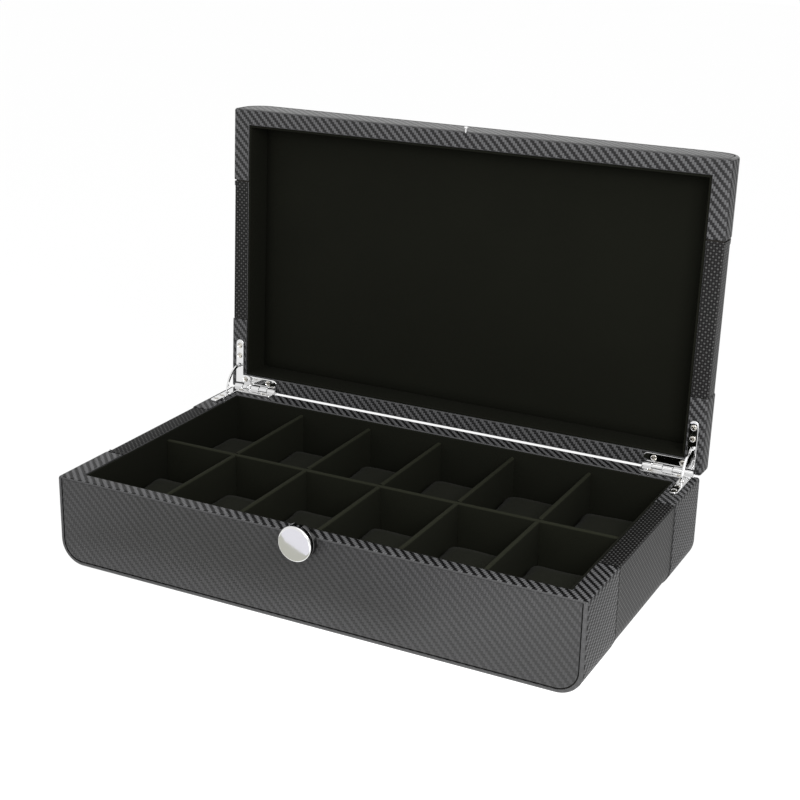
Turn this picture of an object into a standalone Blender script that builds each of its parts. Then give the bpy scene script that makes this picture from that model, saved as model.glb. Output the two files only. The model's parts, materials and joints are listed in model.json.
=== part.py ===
"""Watch storage box with twelve cushioned compartments, modelled open.

Frame: metres, +Z up, origin on the table at the middle of the footprint.
+X runs to the right along the long side, +Y to the hinge side.
The lid pieces are modelled in the closed pose, relative to the hinge axis,
and hang under an empty that turns them open.
"""

import math

import bmesh
import bpy
from mathutils import Matrix, Vector

MM = 0.001

# Overall sizes
WIDTH = 352 * MM
DEPTH = 200 * MM
SHELL_HEIGHT = 58.7 * MM
LID_HEIGHT = 27.8 * MM
CORNER_RADIUS = 16.1 * MM
CLOSED_GAP = 3.1 * MM
OPEN_ANGLE = math.radians(92.3)

# Fits and coverings
GAP = 0.3 * MM
WRAP = 1.1 * MM
BAND_WRAP = 0.5 * MM
BAND_HALF = 50 * MM
PANEL_BORDER = 2.6 * MM
PANEL_RIM_BORDER = 1.2 * MM
FELT = 0.7 * MM
FELT_INSET = 8 * MM
LINING = 1.2 * MM
LINING_DROP = 0.6 * MM

# Carcass boards: how far each rim reaches in from the outside
BASE_RIM_SIDE = 13.4 * MM
BASE_RIM_FRONT = 10.3 * MM
BASE_RIM_REAR = 13.1 * MM
LID_RIM_SIDE = 12.2 * MM
LID_RIM_FRONT = 10.9 * MM
LID_RIM_REAR = 9.2 * MM
BOTTOM_BOARD = 6 * MM
LID_TOP_BOARD = 3.3 * MM
LID_PAD = 2.8 * MM

# Dividers and cushions
COLUMNS = 6
DIVIDER = 3 * MM
DIVIDER_DROP = 5.1 * MM
DIVIDER_ROUND = 1.2 * MM
CUSHION_SIDE_GAP = 0.7 * MM
CUSHION_FRONT_GAP = 3.6 * MM
CUSHION_REAR_GAP = 11.7 * MM
CUSHION_HEIGHT = 28.3 * MM
CUSHION_ROUND = 11 * MM

# Corner hinges
LEAF = 1.0 * MM
LEG_WIDTH = 6 * MM
SIDE_LEG_INSET = 7.4 * MM
SIDE_LEG_LENGTH = 35 * MM
REAR_LEG_LENGTH = 34 * MM
REAR_LEG_EDGE = 2.8 * MM
BARREL_RADIUS = 2.2 * MM
BARREL_CLEARANCE = 0.4 * MM
KNUCKLES = 5
PIN_RADIUS = 0.8 * MM
PIN_CLEARANCE = 0.18 * MM
SIDE_SCREWS = (23 * MM, 30.5 * MM)
REAR_SCREWS = (8 * MM, 27 * MM)
SCREW_RADIUS = 0.9 * MM
SCREW_HEAD_RADIUS = 1.8 * MM
SCREW_HEAD = 0.7 * MM
SCREW_LENGTH = 8 * MM

# Quadrant stays that carry the lid's tipping load
STAY_RADIUS = 16 * MM
STAY_HEIGHT = 2 * MM
STAY_THICKNESS = 1.3 * MM
STAY_TAIL = math.radians(8)
STAY_STOP = math.radians(2.6)
STAY_STOP_THICKNESS = 3.2 * MM
STAY_CLEARANCE = 0.35 * MM
STAY_POCKET_MARGIN = math.radians(8)

# Push-button catch
BUTTON_RADIUS = 11 * MM
BUTTON_REACH = 7.9 * MM
BUTTON_CAP = 2.4 * MM
BUTTON_BEVEL = 0.9 * MM
BUTTON_TRAVEL = 1.5 * MM
COLLAR_WALL = 1.4 * MM
COLLAR_BACK = 1.2 * MM
STEM_DROP = 5 * MM
STEM_RADIUS = 1.2 * MM
STEM_LENGTH = 14 * MM
STEM_CLEARANCE = 0.3 * MM
BUSH_RADIUS = 2.4 * MM
BUSH_LENGTH = 5.2 * MM
CLIP_RADIUS = 2.1 * MM
CLIP = 1.0 * MM
SPRING_RADIUS = 2.1 * MM
SPRING_WIRE = 0.25 * MM
SPRING_TURNS = 2.5
STUD_RADIUS = 1.4 * MM
STUD_NECK = 0.8 * MM
STUD_REACH = 3.3 * MM
STUD_ROOT = 3.5 * MM
STUD_HEAD = 1.2 * MM
STUD_ABOVE_RIM = 1.3 * MM
FINGER_WIDTH = 1.2 * MM
FINGER_HEIGHT = 0.8 * MM
FINGER_LIP = 0.7 * MM
FINGER_GRIP = 0.6 * MM

CORNER_STEPS = 8
ROUND_STEPS = 24
FINE_STEPS = 64

# Levels and places that follow from the sizes above
SHELL_BOTTOM = FELT + GAP
RIM = SHELL_BOTTOM + SHELL_HEIGHT
AXIS_Z = RIM + CLOSED_GAP / 2
BACK = DEPTH / 2
SKIN = WRAP + GAP
BAND_STEP = WRAP - BAND_WRAP
BOTTOM_TOP = SHELL_BOTTOM + SKIN + BOTTOM_BOARD
FLOOR_TOP = BOTTOM_TOP + GAP + LINING
INNER_HALF = WIDTH / 2 - BASE_RIM_SIDE - GAP - LINING
INNER_FRONT = -BACK + BASE_RIM_FRONT + GAP + LINING
INNER_REAR = BACK - BASE_RIM_REAR - GAP - LINING
INNER_MIDDLE = (INNER_FRONT + INNER_REAR) / 2
COLUMN_PITCH = 2 * INNER_HALF / COLUMNS
DIVIDER_TOP = RIM - DIVIDER_DROP
DIVIDER_BOTTOM = FLOOR_TOP + GAP
LID_RIM = CLOSED_GAP / 2
LID_TOP = LID_RIM + LID_HEIGHT
LID_CEILING = LID_TOP - SKIN - LID_TOP_BOARD
PAD_FACE = LID_CEILING - GAP - LID_PAD
SIDE_LEG_X = WIDTH / 2 - SIDE_LEG_INSET
BARREL_END = SIDE_LEG_X + LEG_WIDTH / 2
BARREL_LENGTH = REAR_LEG_LENGTH
REAR_LEG_Y = -REAR_LEG_EDGE - LEG_WIDTH / 2
STUD_Z = RIM + CLOSED_GAP + STUD_ABOVE_RIM
FINGER_REACH = STUD_RADIUS + GAP + FINGER_WIDTH
FINGER_FOOT = STUD_Z + STUD_RADIUS + GAP
BUTTON_Z = FINGER_FOOT + FINGER_GRIP - math.sqrt(BUTTON_RADIUS ** 2 - FINGER_REACH ** 2)
STEM_Z = BUTTON_Z - STEM_DROP
BUTTON_FACE = -BACK - BUTTON_REACH
CAP_BACK = BUTTON_FACE + BUTTON_CAP
COLLAR_FRONT = CAP_BACK + BUTTON_TRAVEL + GAP
COLLAR_REAR = -BACK - GAP
BUSH_HOLE = BUSH_RADIUS + GAP


# ---------------------------------------------------------------- modelling helpers

def clear_scene():
    for item in list(bpy.data.objects):
        bpy.data.objects.remove(item, do_unlink=True)


def add_object(name, shape):
    """Turns a bmesh into a named object whose faces point out."""
    bmesh.ops.recalc_face_normals(shape, faces=shape.faces)
    mesh = bpy.data.meshes.new(name)
    shape.to_mesh(mesh)
    shape.free()
    item = bpy.data.objects.new(name, mesh)
    bpy.context.scene.collection.objects.link(item)
    return item


def close_rings(shape, rings):
    """Caps the first and last ring and joins each ring to the next."""
    shape.faces.new(rings[0])
    shape.faces.new(rings[-1])
    for first, second in zip(rings, rings[1:]):
        for k in range(len(first)):
            n = (k + 1) % len(first)
            shape.faces.new((first[k], first[n], second[n], second[k]))


def prism(name, outline, axis, low, high):
    """Pushes a closed outline along an axis; the outline lies in the other two axes in order."""
    return stack(name, axis, [(outline, low), (outline, high)])


def turned(name, axis, centre, sizes, steps=ROUND_STEPS):
    """Round piece from a list of (radius, level) pairs along an axis."""
    return stack(name, axis, [(circle(centre, radius, steps), level) for radius, level in sizes])


def stack(name, axis, sections):
    """Closed skin through outlines with equal numbers of points, each at its level."""
    order = {"X": (1, 2, 0), "Y": (0, 2, 1), "Z": (0, 1, 2)}[axis]
    shape = bmesh.new()
    rings = []
    for outline, level in sections:
        ring = []
        for first, second in outline:
            point = [0.0, 0.0, 0.0]
            point[order[0]], point[order[1]], point[order[2]] = first, second, level
            ring.append(shape.verts.new(point))
        rings.append(ring)
    close_rings(shape, rings)
    return add_object(name, shape)


def box(name, low, high):
    outline = [(low[0], low[1]), (high[0], low[1]), (high[0], high[1]), (low[0], high[1])]
    return prism(name, outline, "Z", low[2], high[2])


def circle(centre, radius, steps=ROUND_STEPS):
    turns = [2 * math.pi * (step + 0.5) / steps for step in range(steps)]
    return [(centre[0] + radius * math.cos(t), centre[1] + radius * math.sin(t)) for t in turns]


def sector(centre, inner, outer, start, end, steps=ROUND_STEPS):
    """Part of a ring in the Y-Z plane; angles rise from -Y towards +Z."""
    angles = [start + (end - start) * step / steps for step in range(steps + 1)]
    far = [(centre[0] - outer * math.cos(a), centre[1] + outer * math.sin(a)) for a in angles]
    near = [(centre[0] - inner * math.cos(a), centre[1] + inner * math.sin(a)) for a in angles]
    return far + near[::-1]


def rounded_box_outline(low, high, radii):
    """Rectangle with its own radius at each corner: low-low, high-low, high-high, low-high."""
    corners = [(low[0], low[1], 180), (high[0], low[1], 270), (high[0], high[1], 0), (low[0], high[1], 90)]
    points = []
    for (x, y, start), radius in zip(corners, radii):
        if radius <= 0:
            points.append((x, y))
            continue
        cx = x + radius if start in (180, 90) else x - radius
        cy = y + radius if start in (180, 270) else y - radius
        for step in range(CORNER_STEPS + 1):
            angle = math.radians(start + 90 * step / CORNER_STEPS)
            points.append((cx + radius * math.cos(angle), cy + radius * math.sin(angle)))
    return points


def combine(part, tool, operation):
    """Applies one Boolean and removes its tool."""
    modifier = part.modifiers.new("combine", "BOOLEAN")
    modifier.object = tool
    modifier.operation = operation
    bpy.context.view_layer.update()
    seen = part.evaluated_get(bpy.context.evaluated_depsgraph_get())
    mesh = bpy.data.meshes.new_from_object(seen)
    part.modifiers.clear()
    part.data = mesh
    bpy.data.objects.remove(tool, do_unlink=True)
    return part


def cut(part, *tools):
    for tool in tools:
        combine(part, tool, "DIFFERENCE")
    return part


def join(part, *tools):
    for tool in tools:
        combine(part, tool, "UNION")
    return part


def keep(part, tool):
    return combine(part, tool, "INTERSECT")


def smooth(part):
    part.data.shade_smooth()
    part.data.set_sharp_from_angle(angle=math.radians(35))
    return part


def finish(part, name, colour, roughness, metallic=0.0, parent=None):
    """Names the part's node, gives it its own material and hangs it under its joint."""
    part.name = name
    part.data.name = name
    material = bpy.data.materials.new(name)
    material.use_nodes = True
    shader = material.node_tree.nodes["Principled BSDF"]
    shader.inputs["Base Color"].default_value = (*colour, 1.0)
    shader.inputs["Roughness"].default_value = roughness
    shader.inputs["Metallic"].default_value = metallic
    part.data.materials.clear()
    part.data.materials.append(material)
    part.parent = parent
    return part


CARBON = dict(colour=(0.035, 0.035, 0.038), roughness=0.38)
WOVEN = dict(colour=(0.045, 0.042, 0.036), roughness=0.6)
BOARD = dict(colour=(0.34, 0.24, 0.15), roughness=0.8)
SUEDE = dict(colour=(0.012, 0.012, 0.010), roughness=0.95)
CHROME = dict(colour=(0.80, 0.80, 0.81), roughness=0.12, metallic=1.0)
STEEL = dict(colour=(0.62, 0.62, 0.63), roughness=0.3, metallic=1.0)


# ---------------------------------------------------------------- outside covering

def base_section(inset, rim_inset):
    """The base's cross-section: square at the rim, round along the bottom edges."""
    half = WIDTH / 2 - inset
    radius = CORNER_RADIUS - inset
    low, high = (-half, SHELL_BOTTOM + inset), (half, RIM - rim_inset)
    return rounded_box_outline(low, high, (radius, radius, 0, 0))


def lid_section(inset, rim_inset):
    """The lid's cross-section from the hinge axis up: round along the top edges."""
    half = WIDTH / 2 - inset
    radius = CORNER_RADIUS - inset
    low, high = (-half, LID_RIM + rim_inset), (half, LID_TOP - inset)
    return rounded_box_outline(low, high, (0, 0, radius, radius))


class Shell:
    """The numbers that differ between the base's covering and the lid's."""

    def __init__(self, section, y_shift, rims, mouth):
        self.section = section
        self.front = -BACK - y_shift
        self.back = BACK - y_shift
        self.middle = -y_shift
        self.rim_side, self.rim_front, self.rim_rear = rims
        self.mouth = mouth

    def opening(self):
        """Cutter for the mouth inside the rims."""
        half = WIDTH / 2 - self.rim_side
        low = (-half, self.front + self.rim_front, self.mouth[0])
        high = (half, self.back - self.rim_rear, self.mouth[1])
        return box("opening", low, high)


def end_wrap(shell, front):
    """Leatherette over the front or rear quarter: rims, sides, bottom and the end face."""
    seam = BAND_HALF + GAP / 2
    if front:
        low, high = shell.front, shell.middle - seam
        inner = (low + WRAP, high + WRAP)
    else:
        low, high = shell.middle + seam, shell.back
        inner = (low - WRAP, high - WRAP)
    wrap = prism("wrap", shell.section(0, 0), "Y", low, high)
    cut(wrap, prism("core", shell.section(WRAP, WRAP), "Y", *inner), shell.opening())
    if front:
        window = shell.section(PANEL_BORDER, PANEL_RIM_BORDER)
        cut(wrap, prism("window", window, "Y", low - WRAP, low + 2 * WRAP))
    return wrap


def middle_wrap(shell):
    """Woven band round the middle, thinner than its neighbours so that it lies lower."""
    reach = BAND_HALF - GAP / 2
    low, high = shell.middle - reach, shell.middle + reach
    wrap = prism("wrap", shell.section(BAND_STEP, BAND_STEP), "Y", low, high)
    core = prism("core", shell.section(WRAP, WRAP), "Y", low - WRAP, high + WRAP)
    return cut(wrap, core, shell.opening())


def front_panel(shell):
    """Flat leatherette panel inside the border of the front wrap."""
    outline = shell.section(PANEL_BORDER + GAP, PANEL_RIM_BORDER + GAP)
    return prism("panel", outline, "Y", shell.front, shell.front + WRAP)


# ---------------------------------------------------------------- carcass boards

def base_boards():
    inset = SKIN
    half = WIDTH / 2 - BASE_RIM_SIDE
    ends = (-BACK + SKIN, BACK - SKIN)
    boards = {}
    for name, side in (("base_left_board", -1), ("base_right_board", 1)):
        board = prism(name, base_section(inset, inset), "Y", *ends)
        near, far = sorted((side * half, side * WIDTH))
        boards[name] = keep(board, box("side", (near, -DEPTH, -DEPTH), (far, DEPTH, DEPTH)))
    bottom = prism("bottom", base_section(inset, inset), "Y", *ends)
    reach = half - GAP
    low, high = (-reach, -DEPTH, -DEPTH), (reach, DEPTH, BOTTOM_TOP)
    boards["base_bottom_board"] = keep(bottom, box("slab", low, high))
    foot = BOTTOM_TOP + GAP
    top = RIM - SKIN
    front = box("front", (-reach, ends[0], foot), (reach, -BACK + BASE_RIM_FRONT, top))
    boards["base_front_board"] = front
    rear = box("rear", (-reach, BACK - BASE_RIM_REAR, foot), (reach, ends[1], top))
    boards["base_rear_board"] = rear
    return boards


def lid_boards(shell):
    ends = (shell.front + SKIN, shell.back - SKIN)
    reach = (-WIDTH, -2 * DEPTH), (WIDTH, DEPTH)
    frame = prism("frame", lid_section(SKIN, SKIN), "Y", *ends)
    keep(frame, box("lower", (*reach[0], 0), (*reach[1], LID_CEILING - GAP)))
    cut(frame, shell.opening())
    top = prism("top", lid_section(SKIN, SKIN), "Y", *ends)
    keep(top, box("upper", (*reach[0], LID_CEILING), (*reach[1], 2 * LID_TOP)))
    return frame, top


# ---------------------------------------------------------------- lining, dividers, cushions

def lining_ring(low, high):
    """Four-sided lining that stands against the inside of the boards."""
    ring = box("ring", low, high)
    inner_low = (low[0] + LINING, low[1] + LINING, low[2] - LINING)
    inner_high = (high[0] - LINING, high[1] - LINING, high[2] + LINING)
    return cut(ring, box("inside", inner_low, inner_high))


def base_linings():
    half = INNER_HALF + LINING
    front, rear = INNER_FRONT - LINING, INNER_REAR + LINING
    wall = lining_ring((-half, front, BOTTOM_TOP + GAP), (half, rear, RIM - LINING_DROP))
    edge = GAP
    low = (-INNER_HALF + edge, INNER_FRONT + edge, BOTTOM_TOP + GAP)
    high = (INNER_HALF - edge, INNER_REAR - edge, FLOOR_TOP)
    return wall, box("floor", low, high)


def lid_linings(shell):
    half = WIDTH / 2 - LID_RIM_SIDE - GAP
    low = (-half, shell.front + LID_RIM_FRONT + GAP, LID_RIM + LINING_DROP)
    high = (half, shell.back - LID_RIM_REAR - GAP, LID_CEILING - GAP)
    wall = lining_ring(low, high)
    edge = LINING + GAP
    pad_low = (low[0] + edge, low[1] + edge, PAD_FACE)
    pad_high = (high[0] - edge, high[1] - edge, LID_CEILING - GAP)
    return wall, box("pad", pad_low, pad_high)


def divider_blank(low, high, along):
    """Upright board with its two long top edges rounded."""
    wide = (low[1], high[1]) if along == "X" else (low[0], high[0])
    round_off = (0, 0, DIVIDER_ROUND, DIVIDER_ROUND)
    outline = rounded_box_outline((wide[0], low[2]), (wide[1], high[2]), round_off)
    span = (low[0], high[0]) if along == "X" else (low[1], high[1])
    return prism("divider", outline, along, *span)


def dividers():
    """One long divider notched from below and cross dividers notched from above."""
    half_lap = (DIVIDER_BOTTOM + DIVIDER_TOP) / 2
    slot = DIVIDER / 2 + GAP
    places = [COLUMN_PITCH * (k - COLUMNS / 2) for k in range(1, COLUMNS)]
    low = (-INNER_HALF + GAP, INNER_MIDDLE - DIVIDER / 2, DIVIDER_BOTTOM)
    high = (INNER_HALF - GAP, INNER_MIDDLE + DIVIDER / 2, DIVIDER_TOP)
    long_divider = divider_blank(low, high, "X")
    for x in places:
        low = (x - slot, INNER_MIDDLE - DIVIDER, 0)
        high = (x + slot, INNER_MIDDLE + DIVIDER, half_lap + GAP / 2)
        cut(long_divider, box("slot", low, high))
    crosses = []
    for x in places:
        low = (x - DIVIDER / 2, INNER_FRONT + GAP, DIVIDER_BOTTOM)
        high = (x + DIVIDER / 2, INNER_REAR - GAP, DIVIDER_TOP)
        cross = divider_blank(low, high, "Y")
        low = (x - DIVIDER, INNER_MIDDLE - slot, half_lap - GAP / 2)
        high = (x + DIVIDER, INNER_MIDDLE + slot, 2 * RIM)
        crosses.append(cut(cross, box("slot", low, high)))
    return long_divider, crosses


def cushions():
    """One cushion to a compartment, round over its front and rear ends."""
    made = {}
    half_width = (COLUMN_PITCH - DIVIDER) / 2 - CUSHION_SIDE_GAP
    bottom = FLOOR_TOP + GAP
    half_divider = DIVIDER / 2
    front_row = ("front", INNER_FRONT, INNER_MIDDLE - half_divider)
    rear_row = ("rear", INNER_MIDDLE + half_divider, INNER_REAR)
    for row, start, end in (front_row, rear_row):
        low = (start + CUSHION_FRONT_GAP, bottom)
        high = (end - CUSHION_REAR_GAP, bottom + CUSHION_HEIGHT)
        outline = rounded_box_outline(low, high, (CUSHION_ROUND / 2,) * 2 + (CUSHION_ROUND,) * 2)
        for column in range(COLUMNS):
            x = COLUMN_PITCH * (column + 0.5 - COLUMNS / 2)
            cushion = prism("cushion", outline, "X", x - half_width, x + half_width)
            made[f"cushion_{row}_{column + 1}"] = cushion
    return made


# ---------------------------------------------------------------- corner hinges

def leaf_outline(side):
    """L-shaped plate seen from above, with rounded free ends, relative to the axis."""
    half = LEG_WIDTH / 2
    end_y = -SIDE_LEG_LENGTH + half
    end_x = SIDE_LEG_X + half - REAR_LEG_LENGTH + half
    points = [(SIDE_LEG_X + half, REAR_LEG_Y + half)]
    points += [(end_x, REAR_LEG_Y + half)]
    for step in range(1, CORNER_STEPS):
        angle = math.pi * (0.5 + step / CORNER_STEPS)
        points.append((end_x + half * math.cos(angle), REAR_LEG_Y + half * math.sin(angle)))
    points += [(end_x, REAR_LEG_Y - half), (SIDE_LEG_X - half, REAR_LEG_Y - half)]
    points += [(SIDE_LEG_X - half, end_y)]
    for step in range(1, CORNER_STEPS):
        angle = math.pi * (1 + step / CORNER_STEPS)
        points.append((SIDE_LEG_X + half * math.cos(angle), end_y + half * math.sin(angle)))
    points += [(SIDE_LEG_X + half, end_y)]
    return [(side * x, y) for x, y in points]


def screw_places(side):
    """Screw centres relative to the axis: two on each leg."""
    places = [(side * SIDE_LEG_X, -distance) for distance in SIDE_SCREWS]
    places += [(side * (BARREL_END - distance), REAR_LEG_Y) for distance in REAR_SCREWS]
    return places


def knuckle_spans(side, owner):
    """The stretches along X that belong to the base leaf (0) or to the lid leaf (1)."""
    length = BARREL_LENGTH / KNUCKLES
    spans = []
    for index in range(owner, KNUCKLES, 2):
        start = BARREL_END - index * length
        spans.append(tuple(sorted((side * (start - GAP / 2), side * (start - length + GAP / 2)))))
    return spans


def hinge_leaf(side, up):
    """One leaf: up is 1 for the lid's, which lies above the axis, and -1 for the base's."""
    near = up * (CLOSED_GAP / 2 - GAP - LEAF)
    far = up * (CLOSED_GAP / 2 - GAP)
    low, high = sorted((near, far))
    leaf = prism("leaf", leaf_outline(side), "Z", low, high)
    root = REAR_LEG_Y + LEG_WIDTH / 2
    for x0, x1 in knuckle_spans(side, 0 if up < 0 else 1):
        join(leaf, box("tongue", (x0, root - LEAF, low), (x1, -PIN_RADIUS - LEAF / 2, high)))
        join(leaf, prism("knuckle", circle((0, 0), BARREL_RADIUS, 20), "X", x0, x1))
    reach = sorted((side * (BARREL_END + LEAF), side * (BARREL_END - BARREL_LENGTH - LEAF)))
    cut(leaf, prism("bore", circle((0, 0), PIN_RADIUS + PIN_CLEARANCE, 16), "X", *reach))
    for x, y in screw_places(side):
        hole = circle((x, y), SCREW_RADIUS + GAP, 16)
        cut(leaf, prism("hole", hole, "Z", low - LEAF, high + LEAF))
        cut(leaf, countersink((x, y), near, up, GAP))
    return cut(leaf, stay_slot(side, STAY_THICKNESS, -STAY_TAIL, STAY_TAIL))


def countersink(centre, level, up, grow):
    """Cone that widens towards the leaf's visible face at the given level."""
    outer, inner = SCREW_HEAD_RADIUS + grow, SCREW_RADIUS + grow
    sizes = [(outer, level - up * grow), (outer, level), (inner, level + up * SCREW_HEAD)]
    return turned("countersink", "Z", centre, sizes, 16)


def screw(centre, up):
    """Countersunk cross-head wood screw through the leaf into the board."""
    level = up * (CLOSED_GAP / 2 - GAP - LEAF)
    tip = level + up * SCREW_LENGTH
    sizes = [(SCREW_HEAD_RADIUS, level), (SCREW_RADIUS, level + up * SCREW_HEAD),
             (SCREW_RADIUS, tip - up * 2 * SCREW_RADIUS), (SCREW_RADIUS / 3, tip)]
    item = turned("screw", "Z", centre, sizes, 16)
    long, wide, deep = SCREW_HEAD_RADIUS * 0.8, SCREW_HEAD_RADIUS * 0.14, SCREW_HEAD / 2
    for x, y in ((long, wide), (wide, long)):
        low = (centre[0] - x, centre[1] - y, level - deep)
        high = (centre[0] + x, centre[1] + y, level + deep)
        cut(item, box("cross_slot", low, high))
    return item


def stay_slot(side, thickness, start, end):
    """Cutter for a stay's way through a leaf, or for its pocket in a board."""
    reach = STAY_HEIGHT / 2 + STAY_CLEARANCE
    outline = sector((0, 0), STAY_RADIUS - reach, STAY_RADIUS + reach, start, end, 12)
    half = thickness / 2 + STAY_CLEARANCE
    return prism("stay_slot", outline, "X", side * SIDE_LEG_X - half, side * SIDE_LEG_X + half)


def stay(side):
    """Quarter ring about the hinge axis with a thicker stop at each end."""
    inner, outer = STAY_RADIUS - STAY_HEIGHT / 2, STAY_RADIUS + STAY_HEIGHT / 2
    x = side * SIDE_LEG_X
    start, end = -STAY_TAIL, OPEN_ANGLE + STAY_TAIL
    half = STAY_THICKNESS / 2
    arc = prism("stay", sector((0, 0), inner, outer, start, end), "X", x - half, x + half)
    half = STAY_STOP_THICKNESS / 2
    for a, b in ((start, start + STAY_STOP), (end - STAY_STOP, end)):
        stop = prism("stop", sector((0, 0), inner, outer, a, b, 2), "X", x - half, x + half)
        join(arc, stop)
    return arc


def seat_hinges(parts, up):
    """Cuts the barrel relief, the screw holes and the stay pockets into rims and boards."""
    relief = BARREL_RADIUS + BARREL_CLEARANCE
    pocket = STAY_TAIL + OPEN_ANGLE / 2 + STAY_POCKET_MARGIN
    first, last = sorted((-up * STAY_TAIL * 0.5, up * pocket))
    for side in (-1, 1):
        ends = sorted((side * (BARREL_END + GAP), side * (BARREL_END - BARREL_LENGTH - GAP)))
        for part in parts:
            cut(part, prism("relief", circle((0, 0), relief, ROUND_STEPS), "X", *ends))
            cut(part, stay_slot(side, STAY_STOP_THICKNESS, first, last))
            for centre in screw_places(side):
                low, high = sorted((0, up * (SCREW_LENGTH + 2 * LEAF)))
                cut(part, prism("hole", circle(centre, SCREW_RADIUS + GAP, 12), "Z", low, high))


# ---------------------------------------------------------------- push-button catch

def button_housing():
    """Collar against the front panel with a bush through the front board."""
    collar = prism("collar", circle((0, BUTTON_Z), BUTTON_RADIUS, FINE_STEPS), "Y", COLLAR_FRONT, COLLAR_REAR)
    inside = circle((0, BUTTON_Z), BUTTON_RADIUS - COLLAR_WALL, FINE_STEPS)
    cut(collar, prism("inside", inside, "Y", COLLAR_FRONT - COLLAR_BACK, COLLAR_REAR - COLLAR_BACK))
    bush_end = COLLAR_REAR + BUSH_LENGTH
    bush = circle((0, STEM_Z), BUSH_RADIUS, 20)
    join(collar, prism("bush", bush, "Y", COLLAR_REAR - COLLAR_BACK / 2, bush_end))
    bore = circle((0, STEM_Z), STEM_RADIUS + STEM_CLEARANCE, 16)
    cut(collar, prism("bore", bore, "Y", COLLAR_FRONT, bush_end + COLLAR_BACK))
    gate = FINGER_REACH + GAP
    low = (-gate, COLLAR_FRONT - COLLAR_BACK, STUD_Z - STUD_RADIUS - GAP)
    return cut(collar, box("gate", low, (gate, COLLAR_REAR + GAP, RIM + BUTTON_RADIUS)))


def push_button():
    """Polished cap with its stem and the two fingers that hold the lid's stud down."""
    face = BUTTON_RADIUS - BUTTON_BEVEL
    sizes = [(face, BUTTON_FACE), (BUTTON_RADIUS, BUTTON_FACE + BUTTON_BEVEL), (BUTTON_RADIUS, CAP_BACK)]
    cap = turned("cap", "Y", (0, BUTTON_Z), sizes, FINE_STEPS)
    start = CAP_BACK - BUTTON_CAP / 2
    join(cap, prism("stem", circle((0, STEM_Z), STEM_RADIUS, 16), "Y", start, CAP_BACK + STEM_LENGTH))
    foot = FINGER_FOOT
    lip_end = -BACK - STUD_REACH + STUD_HEAD + GAP / 3
    lip_start = -BACK - STUD_REACH - GAP / 3
    inner = STUD_RADIUS + GAP
    for side in (-1, 1):
        x0, x1 = sorted((side * inner, side * FINGER_REACH))
        join(cap, box("finger", (x0, start, foot), (x1, lip_end, foot + FINGER_HEIGHT)))
        x0, x1 = sorted((side * (inner - FINGER_LIP), side * (inner + FINGER_WIDTH / 2)))
        join(cap, box("lip", (x0, lip_start, foot), (x1, lip_end, foot + FINGER_HEIGHT)))
    return cap


def stem_clip():
    """Retaining ring on the stem behind the bush."""
    start = COLLAR_REAR + BUSH_LENGTH + GAP
    ring = prism("clip", circle((0, STEM_Z), CLIP_RADIUS, 20), "Y", start, start + CLIP)
    hole = circle((0, STEM_Z), STEM_RADIUS + GAP / 2, 16)
    return cut(ring, prism("hole", hole, "Y", start - CLIP, start + 2 * CLIP))


def return_spring():
    """Compression spring round the stem, between the collar's back and the cap."""
    start = CAP_BACK + GAP + SPRING_WIRE
    end = COLLAR_REAR - COLLAR_BACK - GAP - SPRING_WIRE
    sides, steps = 6, int(12 * SPRING_TURNS)
    shape = bmesh.new()
    rings = []
    for step in range(steps + 1):
        turn = 2 * math.pi * SPRING_TURNS * step / steps
        out = Vector((math.cos(turn), 0, math.sin(turn)))
        centre = out * SPRING_RADIUS + Vector((0, start + (end - start) * step / steps, STEM_Z))
        ring = []
        for k in range(sides):
            angle = 2 * math.pi * k / sides
            offset = out * math.cos(angle) + Vector((0, math.sin(angle), 0))
            ring.append(shape.verts.new(centre + offset * SPRING_WIRE))
        rings.append(ring)
    close_rings(shape, rings)
    return add_object("spring", shape)


def lid_stud(shell):
    """Headed stud on the lid's front edge, relative to the hinge axis."""
    z = STUD_Z - AXIS_Z
    tip = shell.front - STUD_REACH
    stud = prism("stud", circle((0, z), STUD_NECK, 12), "Y", tip + STUD_HEAD / 2, shell.front + STUD_ROOT)
    return join(stud, prism("head", circle((0, z), STUD_RADIUS, 20), "Y", tip, tip + STUD_HEAD))


# ---------------------------------------------------------------- assembly

def to_axis(part):
    """Moves a piece built about the hinge axis to its place in the base."""
    part.data.transform(Matrix.Translation((0, BACK, AXIS_Z)))
    return part


def from_axis(part):
    part.data.transform(Matrix.Translation((0, -BACK, -AXIS_Z)))
    return part


def pivot(name, angle=0.0):
    empty = bpy.data.objects.new(name, None)
    empty.location = (0, BACK, AXIS_Z)
    empty.rotation_euler = (angle, 0, 0)
    bpy.context.scene.collection.objects.link(empty)
    return empty


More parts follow.
